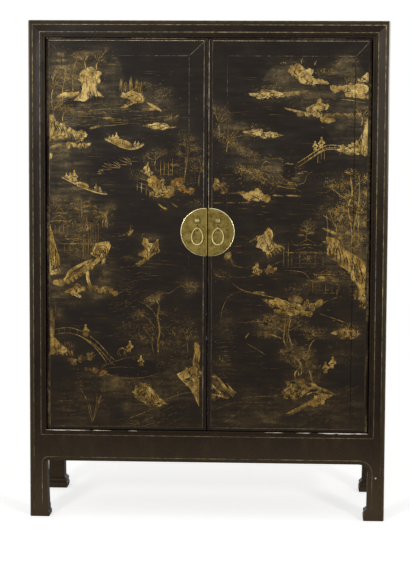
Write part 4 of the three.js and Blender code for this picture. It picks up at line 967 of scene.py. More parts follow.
# The landscapes of the two doors; a motif's numbers stand in the order in which its function names them
def left_picture(page):
    """Shore and rocks at both sides of the left door, open water with boats between them."""
    page.draw(dust, (-455, 1490, 190, 150, 0.42), (-500, 1400, 90, 260, 0.4), (-330, 1430, 150, 90, 0.26),
              (-318, 1520, 50, 100, 0.2), (-505, 1545, 60, 80, 0.33), (-170, 1405, 120, 90, 0.33),
              (-440, 1375, 210, 50, 0.3))
    slopes(page, -520, 1395, 300, 20, 4, 5, 0.36, 0.3, 11)
    crag(page, TALL, -397, 1464, 100, 108, 3, (0.9, 1), 0.06, 0, 1, (0.96,))
    for i, (x, z) in enumerate(((-412, 1500), (-390, 1510), (-372, 1497), (-420, 1482), (-374, 1478),
                                (-398, 1486))):
        rock(page, x, z, 30, 26, 90 + i, 0, 0, (0.85, 1), 0.06, 1, 0.5)
    for i in range(3):
        ledge(page, -428 - 20 * i, 1440 - i, 44, 11, math.pi + 0.4, (0.95, 0.6), 0.12)
    page.draw(wash, (-492, 1535, 28, 80, 0.45, 0, 4), (-490, 1185, 230, 340, 0.42),
              (-445, 815, 330, 210, 0.36), (-270, 365, 900, 230, 0.22), (-90, 1180, 260, 240, -0.5),
              (-140, 635, 330, 290, -0.55), (-312, 1512, 56, 90, 0.26, 0.55, 4),
              (-462, 1400, 66, 34, -0.8, 0.3), (-410, 1310, 96, 28, -0.85))
    page.draw(tree, (-408, 1515, 58, 60, 4, -10, 0.6, 0.25, 70),
              (-372, 1512, 62, 40, 9, 12, 0.55, 0.25, 50), (-452, 1440, 95, 60, 14, -4, 0.5, 0.35, 90),
              (-520, 1400, 110, 55, 15, 6, 0.55, 0.25, 90))
    pine(page, -485, 1400, 120, 16, 6, 5, 0.42, 0.3)
    crag(page, FOOTED, -250, 1414, 94, 62, 5, (0.85, 0.85), 0.22)
    ledge(page, -206, 1406, 62, 11, -0.5, (0.9, 0.5), 0.15)
    ledge(page, -222, 1382, 56, 8, 0.05, (0.8, 0.5), 0.2)
    wash(page, -232, 1452, 72, 22, -0.8)
    for i, place in enumerate((-290, -276, -258, -238, -226)):
        for shift, width in ((-2.5, 3), (0, 5.5), (3, 3)):
            page.stroke([(place + 2.2 * shift, 1436 - 2 * i), (place + 1.4 * shift, 1466),
                         (place, 1500 - 12 * ((i + 1) % 3))], width, 0.3, (0.42, 0.5, 0.2), 0.4, ends=0.5)
    tuft(page, -225, 1458, 90, 30, 60, 21, 0.45, 0.45, 8, 0.7)
    tuft(page, -150, 1432, 70, 50, 60, 22, 0.4, 0.4, 8, 1.5)
    crag(page, CLIFF, -497, 1322, 76, 84, 31, (0.6, 0.85), 0.2)
    page.draw(pile, (-496, 1322, 66, 36, 4, 33, -30, (0.7, 1), 0.08),
              (-466, 1300, 80, 36, 5, 37, -24, (0.8, 1), 0.06),
              (-436, 1264, 62, 22, 4, 41, -8, (0.85, 0.95), 0.12))
    crag(page, FOOTED, -422, 1294, 46, 40, 6, (0.75, 0.95), 0.18, 0.2)
    for i in range(11):
        page.stroke([(-532 + 11 * i, 1350 - 7 * i), (-522 + 11 * i, 1330 - 7 * i),
                     (-528 + 11 * i, 1306 - 6 * i)], 2.8, 0.15, ((0.3, 0.08), (0.08, 0.3))[i % 2], 0.5,
                    base=0.8)
    rock(page, -466, 1257, 14, 13, 9, 0, 0, (0.8, 0.9), 0.15, 0)
    ledge(page, -398, 1318, 48, 7, 0.25, (0.8, 0.4), 0.2)
    tree(page, -520, 1345, 70, 60, 44, 4, 0.55, 0.3, 90)
    tree(page, -486, 1340, 60, 50, 46, 10, 0.45, 0.35, 60)
    ledge(page, -535, 1252, 62, 9, 0.2, (0.85, 0.4), 0.15, 4)
    rock(page, -532, 1226, 22, 26, 7, 0, 0.1, (0.8, 0.9), 0.15, 2)
    crag(page, SPIT, -161, 1326, 112, 28, 3, (0.85, 0.95), 0.2, -0.04)
    tuft(page, -122, 1352, 44, 26, 34, 51, 0.5, 0.45, 8, 1.4)
    ledge(page, -150, 1345, 60, 5, 0.35, (0.6, 0.4), 0.3)
    islet(page, -336, 1352, 34, 8, 4, (0.8, 0.6), 0.2)
    boat(page, -279, 1285, 134, 16, 0.17, 0.055, 0.21, 2)
    water(page, -300, 1345, 260, 26, 16, 52, 0.28)
    mist_lines(page, -320, 1370, 400, 80, 40, 53, 0.36)
    mist_lines(page, -330, 1225, 300, 40, 8, 54, 0.22, 0.3)
    for x, z, size in ((-320, 1180, 1), (-292, 1186, 1), (-254, 1196, 1.15), (-346, 1166, 0.7)):
        tips = [(x - a * size, z + b * size) for a, b in ((36, 3), (36, 14), (28, 23), (15, 24))]
        blades(page, x, z, tips, 3.2, (0.3, 0.65), 0.25, 0.1)
    tuft(page, -235, 1166, 60, 40, 40, 95, 0.36, 0.4, 9, 0.4)
    boat(page, -413, 1156, 156, 56, 0.06, 0.028, 0.13, 3, 0.9, 0.12)
    dust(page, -150, 1150, 130, 90, 0.3)
    crag(page, LEAF, -199, 1182, 32, 52, 9, (0.75, 0.85), 0.25, 0.1)
    crag(page, CLOUD, -153, 1128, 100, 72, 11, (0.7, 0.8), 0.35)
    page.draw(rock, (-133, 1112, 44, 40, 12, 0, 0.1, (0.7, 0.85), 0.4, 3),
              (-103, 1136, 44, 44, 13, 4, 0.1, (0.6, 0.75), 0.85, 3),
              (-84, 1118, 34, 26, 14, 0, 0.1, (0.65, 0.75), 1.1, 2),
              (-58, 1112, 34, 22, 15, 4, 0.1, (0.5, 0.6), 0.95, 1))
    for place in (-184, -168, -136):
        rock(page, place, 1100 - 0.1 * (place + 182), 22, 18, 16 + place % 7, 0, 0, (0.8, 0.85), 0.2, 1)
    pine(page, -74, 1136, 150, 17, 4, 6, 0.5, 0.75, 38)
    page.draw(tree, (-74, 1180, 110, 80, 18, 4, 0.42, 0.8, 120), (-30, 1125, 100, 50, 18, 8, 0.32, 0.6, 80),
              (-172, 1176, 84, 66, 92, -6, 0.45, 0.6, 80))
    tuft(page, -60, 1190, 90, 130, 90, 93, 0.36, 0.75, 8, 0.5)
    tuft(page, -30, 1060, 60, 60, 40, 94, 0.34, 0.7, 8, 1.2)
    for place in (-236, -222, -206, -194, -182):
        blades(page, place, 1152 - 0.8 * (place + 236), [(place, 1108 - 0.5 * (place + 236))], 3.2,
               (0.5, 0.5), 0.3, 0)
    for rise in (0, 16, 30):
        page.stroke([(-246, 1160 - rise), (-206, 1146 - rise), (-172, 1136 - rise)], 2.4, 0.3, 0.45, 0.3)
    for place in (-158, -146, -132, -118):
        blades(page, place, 1156, [(place, 1210 + 6 * (place % 3))], 3, (0.6, 0.4), 0.45, 0)
    for rise in (0, 16, 34):
        page.stroke([(-164, 1168 + rise), (-112, 1164 + rise)], 2, 0.3, 0.42, 0.5)
    ledge(page, -135, 1052, 40, 7, 2.6, (0.75, 0.4), 0.25, -5)
    ledge(page, -98, 1058, 36, 5, 2.5, (0.6, 0.3), 0.4, -5)
    pine(page, -424, 1016, 66, 20, 2, 6, 0.5, 0.35, 40)
    page.draw(tuft, (-425, 1062, 80, 22, 60, 22, 0.42, 0.35, 8, 0.5),
              (-450, 1000, 110, 60, 110, 96, 0.42, 0.5, 9, 0.8),
              (-430, 930, 120, 110, 170, 97, 0.42, 0.65, 9, 0.8),
              (-505, 1060, 60, 80, 70, 98, 0.45, 0.4, 9, 0.6),
              (-345, 1018, 70, 60, 60, 99, 0.42, 0.6, 9, 0.9))
    tree(page, -416, 880, 200, 60, 97, 6, 0.45, 0.85, 90)
    tree(page, -352, 985, 70, 50, 100, 12, 0.45, 0.55, 50)
    blades(page, -340, 1028, [(-344, 986), (-336, 980)], 4, (0.6, 0.4), 0.3, 0)
    pine(page, -380, 1000, 60, 24, 8, 4, 0.35, 0.5)
    dust(page, -450, 990, 150, 120, 0.32)
    pavilion(page, -498, 955, 70, 100, 0.45, 0.35)
    pavilion(page, -440, 900, 100, 60, 0.38, 0.4)
    for place in range(6):
        blades(page, -410 + 8 * place, 870 + 6 * place, [(-412 + 9 * place, 985 + 10 * (place % 3))], 3.4,
               (0.45, 0.5), 0.6, 0.02)
    page.draw(crag, (CLIFF, -514, 920, 38, 150, 25, (0.8, 0.95), 0.28),
              (CLIFF, -512, 856, 40, 56, 26, (0.9, 0.95), 0.2),
              (HOOK, -356, 900, 66, 78, 27, (0.8, 0.95), 0.3))
    page.stroke([(-394, 902), (-372, 892), (-366, 880), (-400, 856), (-430, 838), (-462, 820), (-486, 800)],
                17, 0.6, (0.8, 0.95, 0.9, 0.85, 0.9), 0.28, ends=0.3)
    page.stroke([(-384, 880), (-420, 864), (-462, 838), (-478, 812), (-512, 796)], 12, 0.6, (0.8, 0.9, 0.9),
                0.32, ends=0.35)
    for shift in (-6, 1, 8):
        page.stroke([(-372 + shift, 886 + shift), (-412, 856 + shift), (-448 + shift, 832 + shift),
                     (-480, 806 + 0.6 * shift)], 2.6, 0.15, (0.1, 0.5, 0.15, 0.4, 0.1), 0.5, base=0.75,
                    ends=0.3)
    for scale in (0.75, 0.5, 0.28):
        page.stroke([(-356 - 30 * scale, 896 - 22 * scale), (-356 - 24 * scale, 900 + 24 * scale),
                     (-356 + 20 * scale, 902 + 30 * scale), (-356 + 26 * scale, 896 - 8 * scale),
                     (-358 + 8 * scale, 892 - 30 * scale)], 2.6, 0.15, (0.15, 0.4, 0.1, 0.5), 0.5,
                    base=0.75, ends=0.3)
    for i in range(7):
        rock(page, -392 - 13 * i, 854 - 8.5 * i, 17, 14, 91 + i, -2, 0, (0.75, 0.95), 0.3, 0, 0.6)
    rock(page, -500, 800, 40, 26, 98, -4, 0, (0.8, 0.85), 0.4, 2)
    page.stroke([(-408, 868), (-404, 838), (-400, 806), (-386, 778)], 13, 0.6, (0.8, 0.95, 0.85, 0.8), 0.25,
                ends=0.3)
    crag(page, WEDGE, -446, 774, 78, 52, 28, (0.8, 0.9), 0.4, 0.1, -1)
    pile(page, -352, 776, 84, 28, 6, 67, -14, (0.55, 0.8), 0.5)
    mist_lines(page, -270, 842, 170, 150, 40, 87, 0.34, 0.45)
    slopes(page, -330, 760, 120, 60, 8, 88, 0.24, 0.5, 20)
    tuft(page, -345, 815, 40, 60, 50, 68, 0.35, 0.45, 9, 0.5)
    crag(page, LEAF, -204, 916, 66, 76, 29, (0.75, 0.85), 0.32, 0.1, -1)
    crag(page, LEAF, -172, 924, 34, 54, 30, (0.65, 0.75), 0.55, -0.2)
    ledge(page, -196, 894, 56, 13, math.pi + 0.55, (0.8, 0.7), 0.25, -6)
    tuft(page, -200, 955, 60, 18, 26, 69, 0.35, 0.3, 9, 0.6)
    ledge(page, -268, 962, 30, 9, 0.8, (0.7, 0.3), 0.1)
    page.draw(Relief.stroke, ([(-330, 958), (-290, 960), (-262, 976), (-256, 1000)], 3, 0.3, 0.4, 0.3),
              ([(-240, 868), (-160, 866), (-60, 858)], 1.8, 0.25, 0.25, 0.4),
              ([(-40, 800), (-96, 790), (-124, 770), (-158, 764), (-170, 736)], 2.4, 0.35, (0.2, 0.5),
               0.45))
    page.stroke([(-174, 752), (-162, 722), (-167, 690), (-160, 640), (-166, 600), (-163, 556)], 6.4, 0.45,
                (0.4, 0.6), 0.45, ends=0.3)
    for i, (x, z) in enumerate(((-72, 800), (-48, 794), (-56, 780), (-176, 752), (-194, 740), (-160, 762),
                                (-222, 700), (-236, 690), (-226, 620), (-208, 608), (-196, 650),
                                (-140, 600))):
        tuft(page, x, z, 40, 28, 50, 330 + i, 0.5, 0.55, 7, 1.6)
    for tip in ((-238, 745), (-225, 700), (-215, 650)):
        page.stroke([(-166, tip[1] - 62), (-195, tip[1] - 25), tip], 3, 0.35, (0.5, 0.3), 0.45)
    for i, z in enumerate((590, 620, 650, 678, 706)):
        tuft(page, -166 + 12 * (-1) ** i, z, 40, 26, 16, 170 + i, 0.36, 0.5, 8, 1.2)
    page.stroke([(-180, 640), (-186, 600), (-178, 556)], 3.2, 0.35, 0.4, 0.45)
    dust(page, -90, 600, 130, 140, 0.3)
    page.stroke([(-528, 720), (-524, 660), (-526, 590)], 22, 0.6, (0.3, 0.5, 0.65), 0.55, ends=0.35)
    crag(page, CLIFF, -500, 592, 66, 66, 74, (0.6, 0.8), 0.45)
    for i in range(7):
        ledge(page, -524 + 11 * i, 576 - 0.6 * i, 20, 6, -1.4 + 0.1 * (i % 3), (0.8, 0.4), 0.35)
    tuft(page, -480, 588, 60, 26, 30, 75, 0.5, 0.35, 9, 0.7)
    tree(page, -528, 620, 110, 44, 76, 12, 0.32, 0.55, 60)
    bridge(page, [(-520, 641), (-470, 648), (-420, 634), (-370, 600), (-330, 556), (-312, 540)], 18, (0, 0),
           (0.3, 0.8), 0.55, 0.35)
    page.stroke([(-505, 632), (-440, 624), (-385, 588), (-345, 540), (-340, 524)], 3, 0.4, 0.5, 0.4)
    figure(page, -410, 618, 44, 0.75, 0.32)
    rock(page, -409, 632, 20, 26, 96, 2, -0.2, (0.7, 0.75), 0.35, 1)
    figure(page, -262, 566, 42, 0.7, 0.2, 2)
    figure(page, -222, 520, 38, 0.75, 0.2, -1)
    page.stroke([(-300, 574), (-285, 580), (-266, 572)], 7, 0.5, 0.45, 0.25)
    blades(page, -298, 576, [(-300, 552), (-290, 552)], 2.4, (0.5, 0.4), 0.25)
    blades(page, -276, 574, [(-280, 552), (-272, 552)], 2.4, (0.5, 0.4), 0.25)
    wash(page, -250, 514, 226, 66, -0.95)
    page.draw(dust, (-190, 560, 120, 60, 0.34), (-330, 470, 200, 50, 0.34), (-120, 480, 110, 110, 0.38))
    page.draw(Relief.stroke,
              ([(-362, 512), (-320, 532), (-260, 549), (-200, 548), (-140, 532)], 2.4, 0.35,
               (0.5, 0.3, 0.25), 0.6), ([(-360, 506), (-300, 516), (-220, 512)], 2, 0.3, (0.5, 0.2), 0.5),
              ([(-366, 504), (-320, 486), (-262, 478), (-200, 484), (-150, 502)], 3.2, 0.35,
               (0.6, 0.5, 0.2), 0.45), ([(-340, 478), (-300, 466), (-240, 468)], 2, 0.3, (0.4, 0.2), 0.5))
    pile(page, -376, 502, 50, 24, 3, 77, -6, (0.5, 0.65), 0.6)
    pile(page, -424, 540, 60, 34, 3, 78, 10, (0.36, 0.5), 0.6)
    tuft(page, -300, 462, 80, 26, 50, 79, 0.38, 0.6, 8, 1.2)
    page.mound(-52, 492, np.array([(26, 104), (8, 70), (6, 30), (-22, 16), (-50, 2), (-40, -14), (-16, -24),
                                   (-2, -50), (14, -84), (26, -110)]), 0.5, (0.62, 0.8), 0.4)
    crag(page, WEDGE, -56, 486, 76, 66, 81, (0.65, 0.85), 0.38, 0.1)
    crag(page, TALL, -34, 548, 32, 116, 80, (0.6, 0.8), 0.38, 0.06, -1, (0.9,))
    for knots in ([(-32, 590), (-46, 540), (-44, 500), (-60, 470)],
                  [(-30, 560), (-38, 520), (-34, 470), (-44, 440)],
                  [(-96, 492), (-80, 470), (-60, 452), (-40, 420), (-30, 392)]):
        page.stroke(knots, 3, 0.4, (0.95, 0.8), 0.25, base=0.6)
    page.draw(crag, (BUTTRESS, -206, 424, 84, 66, 82, (0.5, 0.75), 0.55, -0.5, 1, (0.95, 0.6)),
              (WEDGE, -224, 440, 62, 40, 89, (0.65, 0.8), 0.5, 0.4, 1, (0.9,)),
              (TALL, -190, 430, 44, 66, 88, (0.6, 0.8), 0.5, 0.5, 1, (0.9,)),
              (SPIT, -164, 398, 66, 36, 83, (0.75, 0.85), 0.42, -0.25))
    tree(page, -62, 560, 110, 70, 84, -8, 0.28, 0.5, 90)
    tuft(page, -120, 640, 130, 150, 120, 85, 0.34, 0.5, 9, 0.5)
    tuft(page, -250, 640, 90, 60, 60, 86, 0.36, 0.5, 9, 0.9)
    page.stroke([(-280, 326), (-250, 346), (-216, 360), (-160, 388), (-118, 416), (-60, 432), (-24, 424)],
                3, 0.35, (0.5, 0.45, 0.3), 0.45)
    wash(page, -90, 372, 150, 70, -0.7)
    blades(page, -388, 322, [(-448, 468), (-408, 410), (-372, 430), (-350, 455)], 3.6, (0.6, 0.25), 0.5,
           0.05)
    page.stroke([(-388, 322), (-374, 380), (-350, 430), (-300, 442)], 2.4, 0.35, (0.45, 0.2), 0.45)
    for x, z in ((-430, 450), (-400, 408), (-352, 448), (-318, 440), (-366, 400)):
        tuft(page, x, z, 34, 30, 14, 320 - x, 0.36, 0.45, 8, 0.9)
    page.draw(slopes, (-335, 330, 330, 120, 6, 85, 0.25, 0.45, 14),
              (-520, 420, 130, 12, 6, 86, 0.26, 0.45, 14), (-300, 330, 200, 26, 3, 87, 0.3, 0.45, 10))
    water(page, -430, 380, 180, 60, 18, 88, 0.25)
    water(page, -270, 700, 200, 200, 26, 89, 0.16)


def right_picture(page):
    """Islands and a bridge high on the right door, a tall tree on rocks at its right."""
    page.draw(dust, (458, 1528, 100, 80, 0.42), (240, 1475, 90, 70, 0.36), (360, 1425, 220, 70, 0.38),
              (260, 1500, 60, 50, 0.36))
    crag(page, CLOUD, 332, 1499, 138, 72, 1, (0.75, 0.85), 0.2)
    page.stroke([(330, 1488), (356, 1478), (398, 1470)], 6, 0.5, (0.95, 0.7), 0.3, base=0.5)
    page.draw(wash, (462, 1530, 90, 70, 0.5, 0.6, 4), (490, 1340, 200, 200, 0.42),
              (195, 1125, 150, 110, -0.6), (270, 365, 900, 230, 0.22), (60, 1125, 160, 150, -0.7),
              (465, 1090, 190, 220, -0.5), (290, 650, 330, 290, -0.5), (225, 1500, 70, 56, 0.3, 0.6, 4))
    tuft(page, 268, 1530, 70, 26, 40, 97, 0.5, 0.3, 9, 0.5)
    blades(page, 308, 1534, [(306, 1552), (312, 1556)], 3.2, (0.5, 0.5), 0.3, 0)
    blades(page, 352, 1530, [(358, 1546), (350, 1540)], 3.2, (0.5, 0.5), 0.35, 0)
    tuft(page, 386, 1508, 80, 26, 50, 98, 0.5, 0.4, 9, 0.7)
    crag(page, SPIT, 196, 1434, 130, 36, 5, (0.85, 0.85), 0.15)
    ledge(page, 215, 1428, 96, 12, 0.12, (0.95, 0.5), 0.1, 3)
    for i in range(6):
        page.stroke([(178 + 17 * i, 1416 + 2 * i), (192 + 17 * i, 1428 + 2 * i),
                     (216 + 17 * i, 1436 + 2 * i)], 3.6, 0.35, (0.9, 0.6), 0.15, base=0.45)
    ledge(page, 265, 1432, 76, 8, 0.22, (0.75, 0.4), 0.2, 2)
    tuft(page, 210, 1455, 70, 22, 40, 6, 0.4, 0.3, 8, 0.8)
    pile(page, 452, 1456, 70, 34, 5, 7, 6, (0.65, 0.9), 0.2)
    rock(page, 507, 1452, 48, 42, 10, 2, 0.05, (1.25, 1.2), 0.04, 0, 1)
    rock(page, 503, 1448, 56, 30, 11, 2, 0.05, (0.9, 1), 0, 2, 0.8)
    crag(page, CLIFF, 512, 1492, 40, 30, 12, (0.75, 0.9), 0.12, 0, -1)
    pile(page, 500, 1428, 70, 20, 4, 13, -8, (0.7, 0.85), 0.2)
    tuft(page, 480, 1480, 70, 30, 50, 14, 0.5, 0.3, 8, 1.2)
    page.stroke([(430, 1420), (470, 1416), (530, 1406)], 3, 0.3, 0.5, 0.2)
    crag(page, WEDGE, 362, 1390, 78, 66, 15, (0.6, 0.7), 0.33, 0.1, -1)
    pile(page, 346, 1366, 80, 22, 4, 16, -8, (0.6, 0.75), 0.3)
    ledge(page, 344, 1372, 100, 8, math.pi - 0.2, (0.65, 0.5), 0.15, -3)
    rock(page, 396, 1350, 46, 24, 17, 0, 0, (0.75, 0.75), 0.3, 2, 0.8)
    pile(page, 450, 1366, 90, 14, 5, 18, 0, (0.5, 0.65), 0.3)
    crag(page, SPIT, 166, 1304, 104, 36, 7, (0.8, 0.85), 0.22, -0.08, -1)
    crag(page, SPIT, 212, 1300, 78, 24, 8, (0.85, 0.85), 0.2, -0.04)
    tuft(page, 130, 1326, 80, 28, 44, 19, 0.42, 0.4, 8, 1)
    tree(page, 38, 1290, 106, 70, 20, -4, 0.55, 0.85, 120)
    tree(page, 62, 1240, 100, 90, 21, 20, 0.45, 0.6, 120)
    for i in range(6):
        tuft(page, 30 + 24 * i, 1304 - 15 * i, 44, 34, 60, 30 + i, 0.5, 0.55, 8, 1.4)
    tuft(page, 92, 1270, 60, 50, 50, 22, 0.38, 0.4, 8, 1)
    crag(page, CLIFF, 510, 1296, 42, 120, 23, (0.85, 0.75), 0.18, 0, -1)
    crag(page, SPIT, 478, 1250, 110, 34, 24, (0.9, 0.95), 0.12, 0, -1)
    tree(page, 508, 1330, 70, 50, 24, 4, 0.5, 0.35, 80)
    pile(page, 500, 1256, 96, 44, 5, 25, 4, (0.8, 0.95), 0.25)
    bridge(page, [(296, 1206), (330, 1228), (366, 1252), (395, 1266), (430, 1266), (470, 1258)], 14,
           (34, 30, 34), (0.42, 0.48, 0.55), 0.8, 0.25)
    page.stroke([(316, 1204), (352, 1232), (392, 1256), (440, 1258)], 3.4, 0.4, 0.75, 0.3)
    figure(page, 356, 1248, 34, 0.8, 0.3)
    figure(page, 376, 1256, 40, 0.9, 0.2, 1)
    dust(page, 180, 1180, 200, 100, 0.45)
    dust(page, 220, 1150, 150, 50, 0.4)
    for i in range(16):
        page.stroke([(90 + 13 * i, 1210 - 4.4 * i), (100 + 13 * i, 1196 - 4 * i),
                     (104 + 13 * i, 1176 - 3.6 * i)], 2.4, 0.3, (0.45, 0.3), 0.4)
    wash(page, 268, 1180, 46, 58, -0.95, 0, 4)
    page.stroke([(190, 1176), (192, 1192), (199, 1198), (206, 1192), (208, 1176)], 2, 0.3, 0.3, 0.5)
    page.draw(tuft, (132, 1180, 90, 40, 120, 36, 0.5, 0.45, 8, 0.5),
              (168, 1164, 70, 40, 120, 37, 0.55, 0.4, 7, 0.5),
              (226, 1140, 90, 26, 60, 38, 0.5, 0.4, 7, 0.9))
    page.stroke([(178, 1180), (184, 1204), (196, 1212), (208, 1204), (212, 1180)], 2.6, 0.35, 0.5, 0.4)
    page.stroke([(180, 1218), (214, 1222), (246, 1218), (248, 1160)], 2.2, 0.35, 0.42, 0.4)
    for place, level in ((306, 1173), (292, 1157), (276, 1141)):
        ledge(page, place - 14, level, 28, 4, 0.05, (0.55, 0.35), 0.25)
    page.stroke([(203, 1144), (255, 1125), (295, 1121), (314, 1106)], 2.4, 0.3, (0.5, 0.4), 0.4)
    page.stroke([(50, 1200), (110, 1186), (180, 1160), (230, 1130), (300, 1128)], 3, 0.35, (0.35, 0.5), 0.4)
    for place in (240, 272, 300, 322):
        page.stroke([(place - 14, 1222 - 0.5 * (place - 240)), (place + 14, 1218 - 0.5 * (place - 240))], 3,
                    0.4, 0.45, 0.3)
    page.stroke([(214, 1148), (260, 1136), (316, 1140), (330, 1166), (352, 1182)], 2.4, 0.3, 0.4, 0.35)
    crag(page, LEAF, 36, 1134, 52, 48, 28, (0.5, 0.62), 0.62, 0.6, 1, (0.9,))
    rock(page, 54, 1114, 24, 28, 29, 0, 0, (0.45, 0.55), 0.62, 1)
    dust(page, 60, 1130, 70, 50, 0.3)
    crag(page, SPIT, 158, 1096, 100, 44, 32, (0.8, 0.85), 0.26, -0.12, 1, (0.95,))
    rock(page, 166, 1106, 36, 30, 33, 0, 0, (0.85, 0.95), 0.2, 0, 0.7)
    rock(page, 192, 1090, 36, 28, 34, 0, 0, (0.8, 0.9), 0.22, 0, 0.7)
    ledge(page, 130, 1106, 30, 12, math.pi - 0.1, (0.7, 0.4), 0.35)
    for place, reach in ((214, 36), (258, 56)):
        ledge(page, place, 1100, reach, 5, -0.03, (0.65, 0.4), 0.35)
    for place, reach in ((16, 40), (62, 30), (98, 52)):
        ledge(page, place, 1072 + 0.02 * place, reach, 4, 0.04, (0.5, 0.3), 0.6)
    page.stroke([(64, 1106), (96, 1106), (120, 1110)], 2.6, 0.3, 0.35, 0.5)
    dust(page, 470, 1060, 150, 190, 0.38)
    dust(page, 480, 900, 140, 160, 0.36)
    pine(page, 486, 930, 250, 36, 16, 8, 0.5, 0.35, 62)
    for i, (x, z) in enumerate(((424, 1046), (456, 1066), (500, 1060), (440, 1010), (480, 1020),
                                (516, 1010), (460, 976), (506, 966), (436, 960), (486, 935), (520, 1110),
                                (410, 1134), (446, 1138), (476, 1100))):
        tuft(page, x, z, 52, 40, 50, 130 + i, 0.62, 0.35, 8, 1.5)
        rock(page, x + 4, z - 4, 22, 16, 140 + i, 0, 0, (0.4, 0.62), 0.35, 1)
    tree(page, 430, 960, 110, 90, 37, -16, 0.5, 0.4, 110)
    tree(page, 500, 980, 120, 90, 38, 4, 0.5, 0.4, 120)
    page.stroke([(486, 930), (478, 1000), (468, 1060), (480, 1110), (474, 1166)], 5, 0.5, (0.6, 0.75, 0.7),
                0.3, ends=0.3)
    page.stroke([(474, 1100), (500, 1140), (532, 1166)], 3.4, 0.45, (0.7, 0.5), 0.3)
    page.stroke([(470, 1080), (430, 1110), (396, 1136)], 3, 0.45, (0.6, 0.45), 0.35)
    tuft(page, 512, 1160, 60, 40, 50, 45, 0.6, 0.35, 8, 1)
    tuft(page, 500, 900, 80, 90, 90, 41, 0.42, 0.45, 8, 1.2)
    for place in (398, 446, 486, 500):
        page.stroke([(place, 920), (place + 3, 980), (place - 2, 1040)], 2.6, 0.45, (0.55, 0.45), 0.35,
                    ends=0.3)
    ledge(page, 440, 968, 64, 11, 2.75, (0.8, 0.5), 0.3)
    ledge(page, 432, 948, 52, 9, 3.2, (0.7, 0.4), 0.3)
    page.draw(crag, (SHOULDER, 480, 868, 164, 196, 45, (0.75, 0.85), 0.36, 0, 1, (0.96,)),
              (BUTTRESS, 421, 926, 40, 64, 42, (0.85, 0.95), 0.25, -0.3),
              (BUTTRESS, 508, 846, 54, 78, 44, (0.85, 0.95), 0.24, -0.25))
    for i in range(8):
        page.stroke([(420 + 13 * i, 944 - 12 * i), (432 + 12 * i, 912 - 11 * i),
                     (430 + 12.5 * i, 884 - 11 * i)], 3, 0.15, ((0.1, 0.4, 0.1), (0.35, 0.1, 0.3))[i % 2],
                    0.55, base=0.78)
    for i in range(9):
        page.stroke([(446 + 3 * i, 852 - 12 * i), (470 + 3 * i, 850 - 12 * i), (500 + 3 * i, 850 - 12 * i)],
                    1.8, 0.25, (0.2, 0.35), 0.5)
    pile(page, 518, 762, 44, 44, 4, 46, -18, (0.5, 0.7), 0.4)
    crag(page, CLIFF, 522, 742, 26, 40, 47, (0.5, 0.7), 0.45, 0, -1, (0.9,))
    crag(page, LEAF, 202, 946, 84, 88, 47, (0.8, 0.9), 0.2)
    for i in range(6):
        ledge(page, 196 + 8 * i, 914 + 4 * i, 26, 7, -1.3 + 0.16 * i, (0.85, 0.5), 0.25)
    ledge(page, 176, 962, 44, 4, 3.6, (0.5, 0.3), 0.35)
    rock(page, 68, 896, 24, 32, 50, 4, -0.2, (0.55, 0.7), 0.6, 1)
    ledge(page, 76, 892, 30, 9, -1.2, (0.6, 0.4), 0.6)
    page.stroke([(56, 884), (92, 864), (120, 858), (160, 862)], 2.4, 0.3, (0.4, 0.25), 0.5)
    page.stroke([(22, 836), (40, 826), (66, 824)], 7, 0.4, (0.4, 0.3), 0.85)
    tuft(page, 44, 832, 70, 36, 40, 77, 0.36, 0.7, 8, 0.9)
    crag(page, LEAF, 168, 852, 38, 44, 35, (0.7, 0.8), 0.4, 0.2)
    crag(page, LEAF, 212, 852, 44, 36, 36, (0.65, 0.75), 0.55, 0.6)
    tuft(page, 340, 1000, 46, 44, 34, 51, 0.45, 0.5, 9, 1.4)
    pavilion(page, 334, 858, 130, 96, 0.36, 0.45)
    pavilion(page, 396, 772, 110, 80, 0.38, 0.45)
    for place, low, high in ((255, 857, 944), (270, 857, 950), (353, 772, 812), (434, 757, 840)):
        page.stroke([(place, low), (place, high)], 2.4, 0.35, (0.55, 0.45), 0.45, ends=0.25)
    pine(page, 330, 946, 52, 55, 0, 5, 0.5, 0.35, 22)
    ledge(page, 366, 822, 34, 9, 0.05, (0.75, 0.7), 0.25, 4)
    page.draw(tuft, (350, 890, 130, 40, 90, 56, 0.36, 0.5, 8, 0.5),
              (410, 830, 110, 40, 80, 57, 0.4, 0.45, 8, 0.6), (340, 800, 90, 30, 50, 58, 0.34, 0.5, 8, 0.5))
    page.draw(Relief.stroke,
              ([(246, 850), (320, 842), (350, 812), (390, 812), (430, 800)], 3, 0.35, (0.5, 0.4), 0.4),
              ([(60, 830), (96, 824), (150, 830), (230, 872), (262, 884)], 2.6, 0.3, (0.35, 0.35), 0.5),
              ([(80, 806), (120, 780), (190, 764), (230, 756)], 4, 0.35, (0.5, 0.75), 0.35))
    ledge(page, 150, 774, 46, 7, 0, (0.75, 0.5), 0.3)
    page.stroke([(44, 660), (52, 720), (76, 762), (120, 780)], 2.6, 0.3, 0.3, 0.4)
    crag(page, SPIT, 242, 736, 120, 40, 55, (0.7, 0.8), 0.4, -0.2)
    pile(page, 318, 730, 110, 40, 6, 56, 10, (0.55, 0.85), 0.4)
    crag(page, SPIT, 300, 706, 96, 24, 66, (0.8, 0.9), 0.3)
    rock(page, 296, 752, 46, 32, 57, 2, 0, (0.6, 0.65), 0.6, 2, 0.9)
    pile(page, 290, 708, 100, 26, 5, 58, -6, (0.6, 0.75), 0.35)
    tuft(page, 306, 784, 100, 44, 60, 59, 0.42, 0.6, 8, 0.8)
    page.stroke([(360, 728), (400, 746), (440, 762)], 3.4, 0.3, (0.5, 0.35), 0.45)
    crag(page, SPIT, 464, 638, 100, 48, 60, (0.75, 0.85), 0.55, 0, -1, (0.9,))
    crag(page, BUTTRESS, 474, 638, 70, 34, 61, (0.75, 0.85), 0.5, 0, -1, (0.9,))
    for i in range(7):
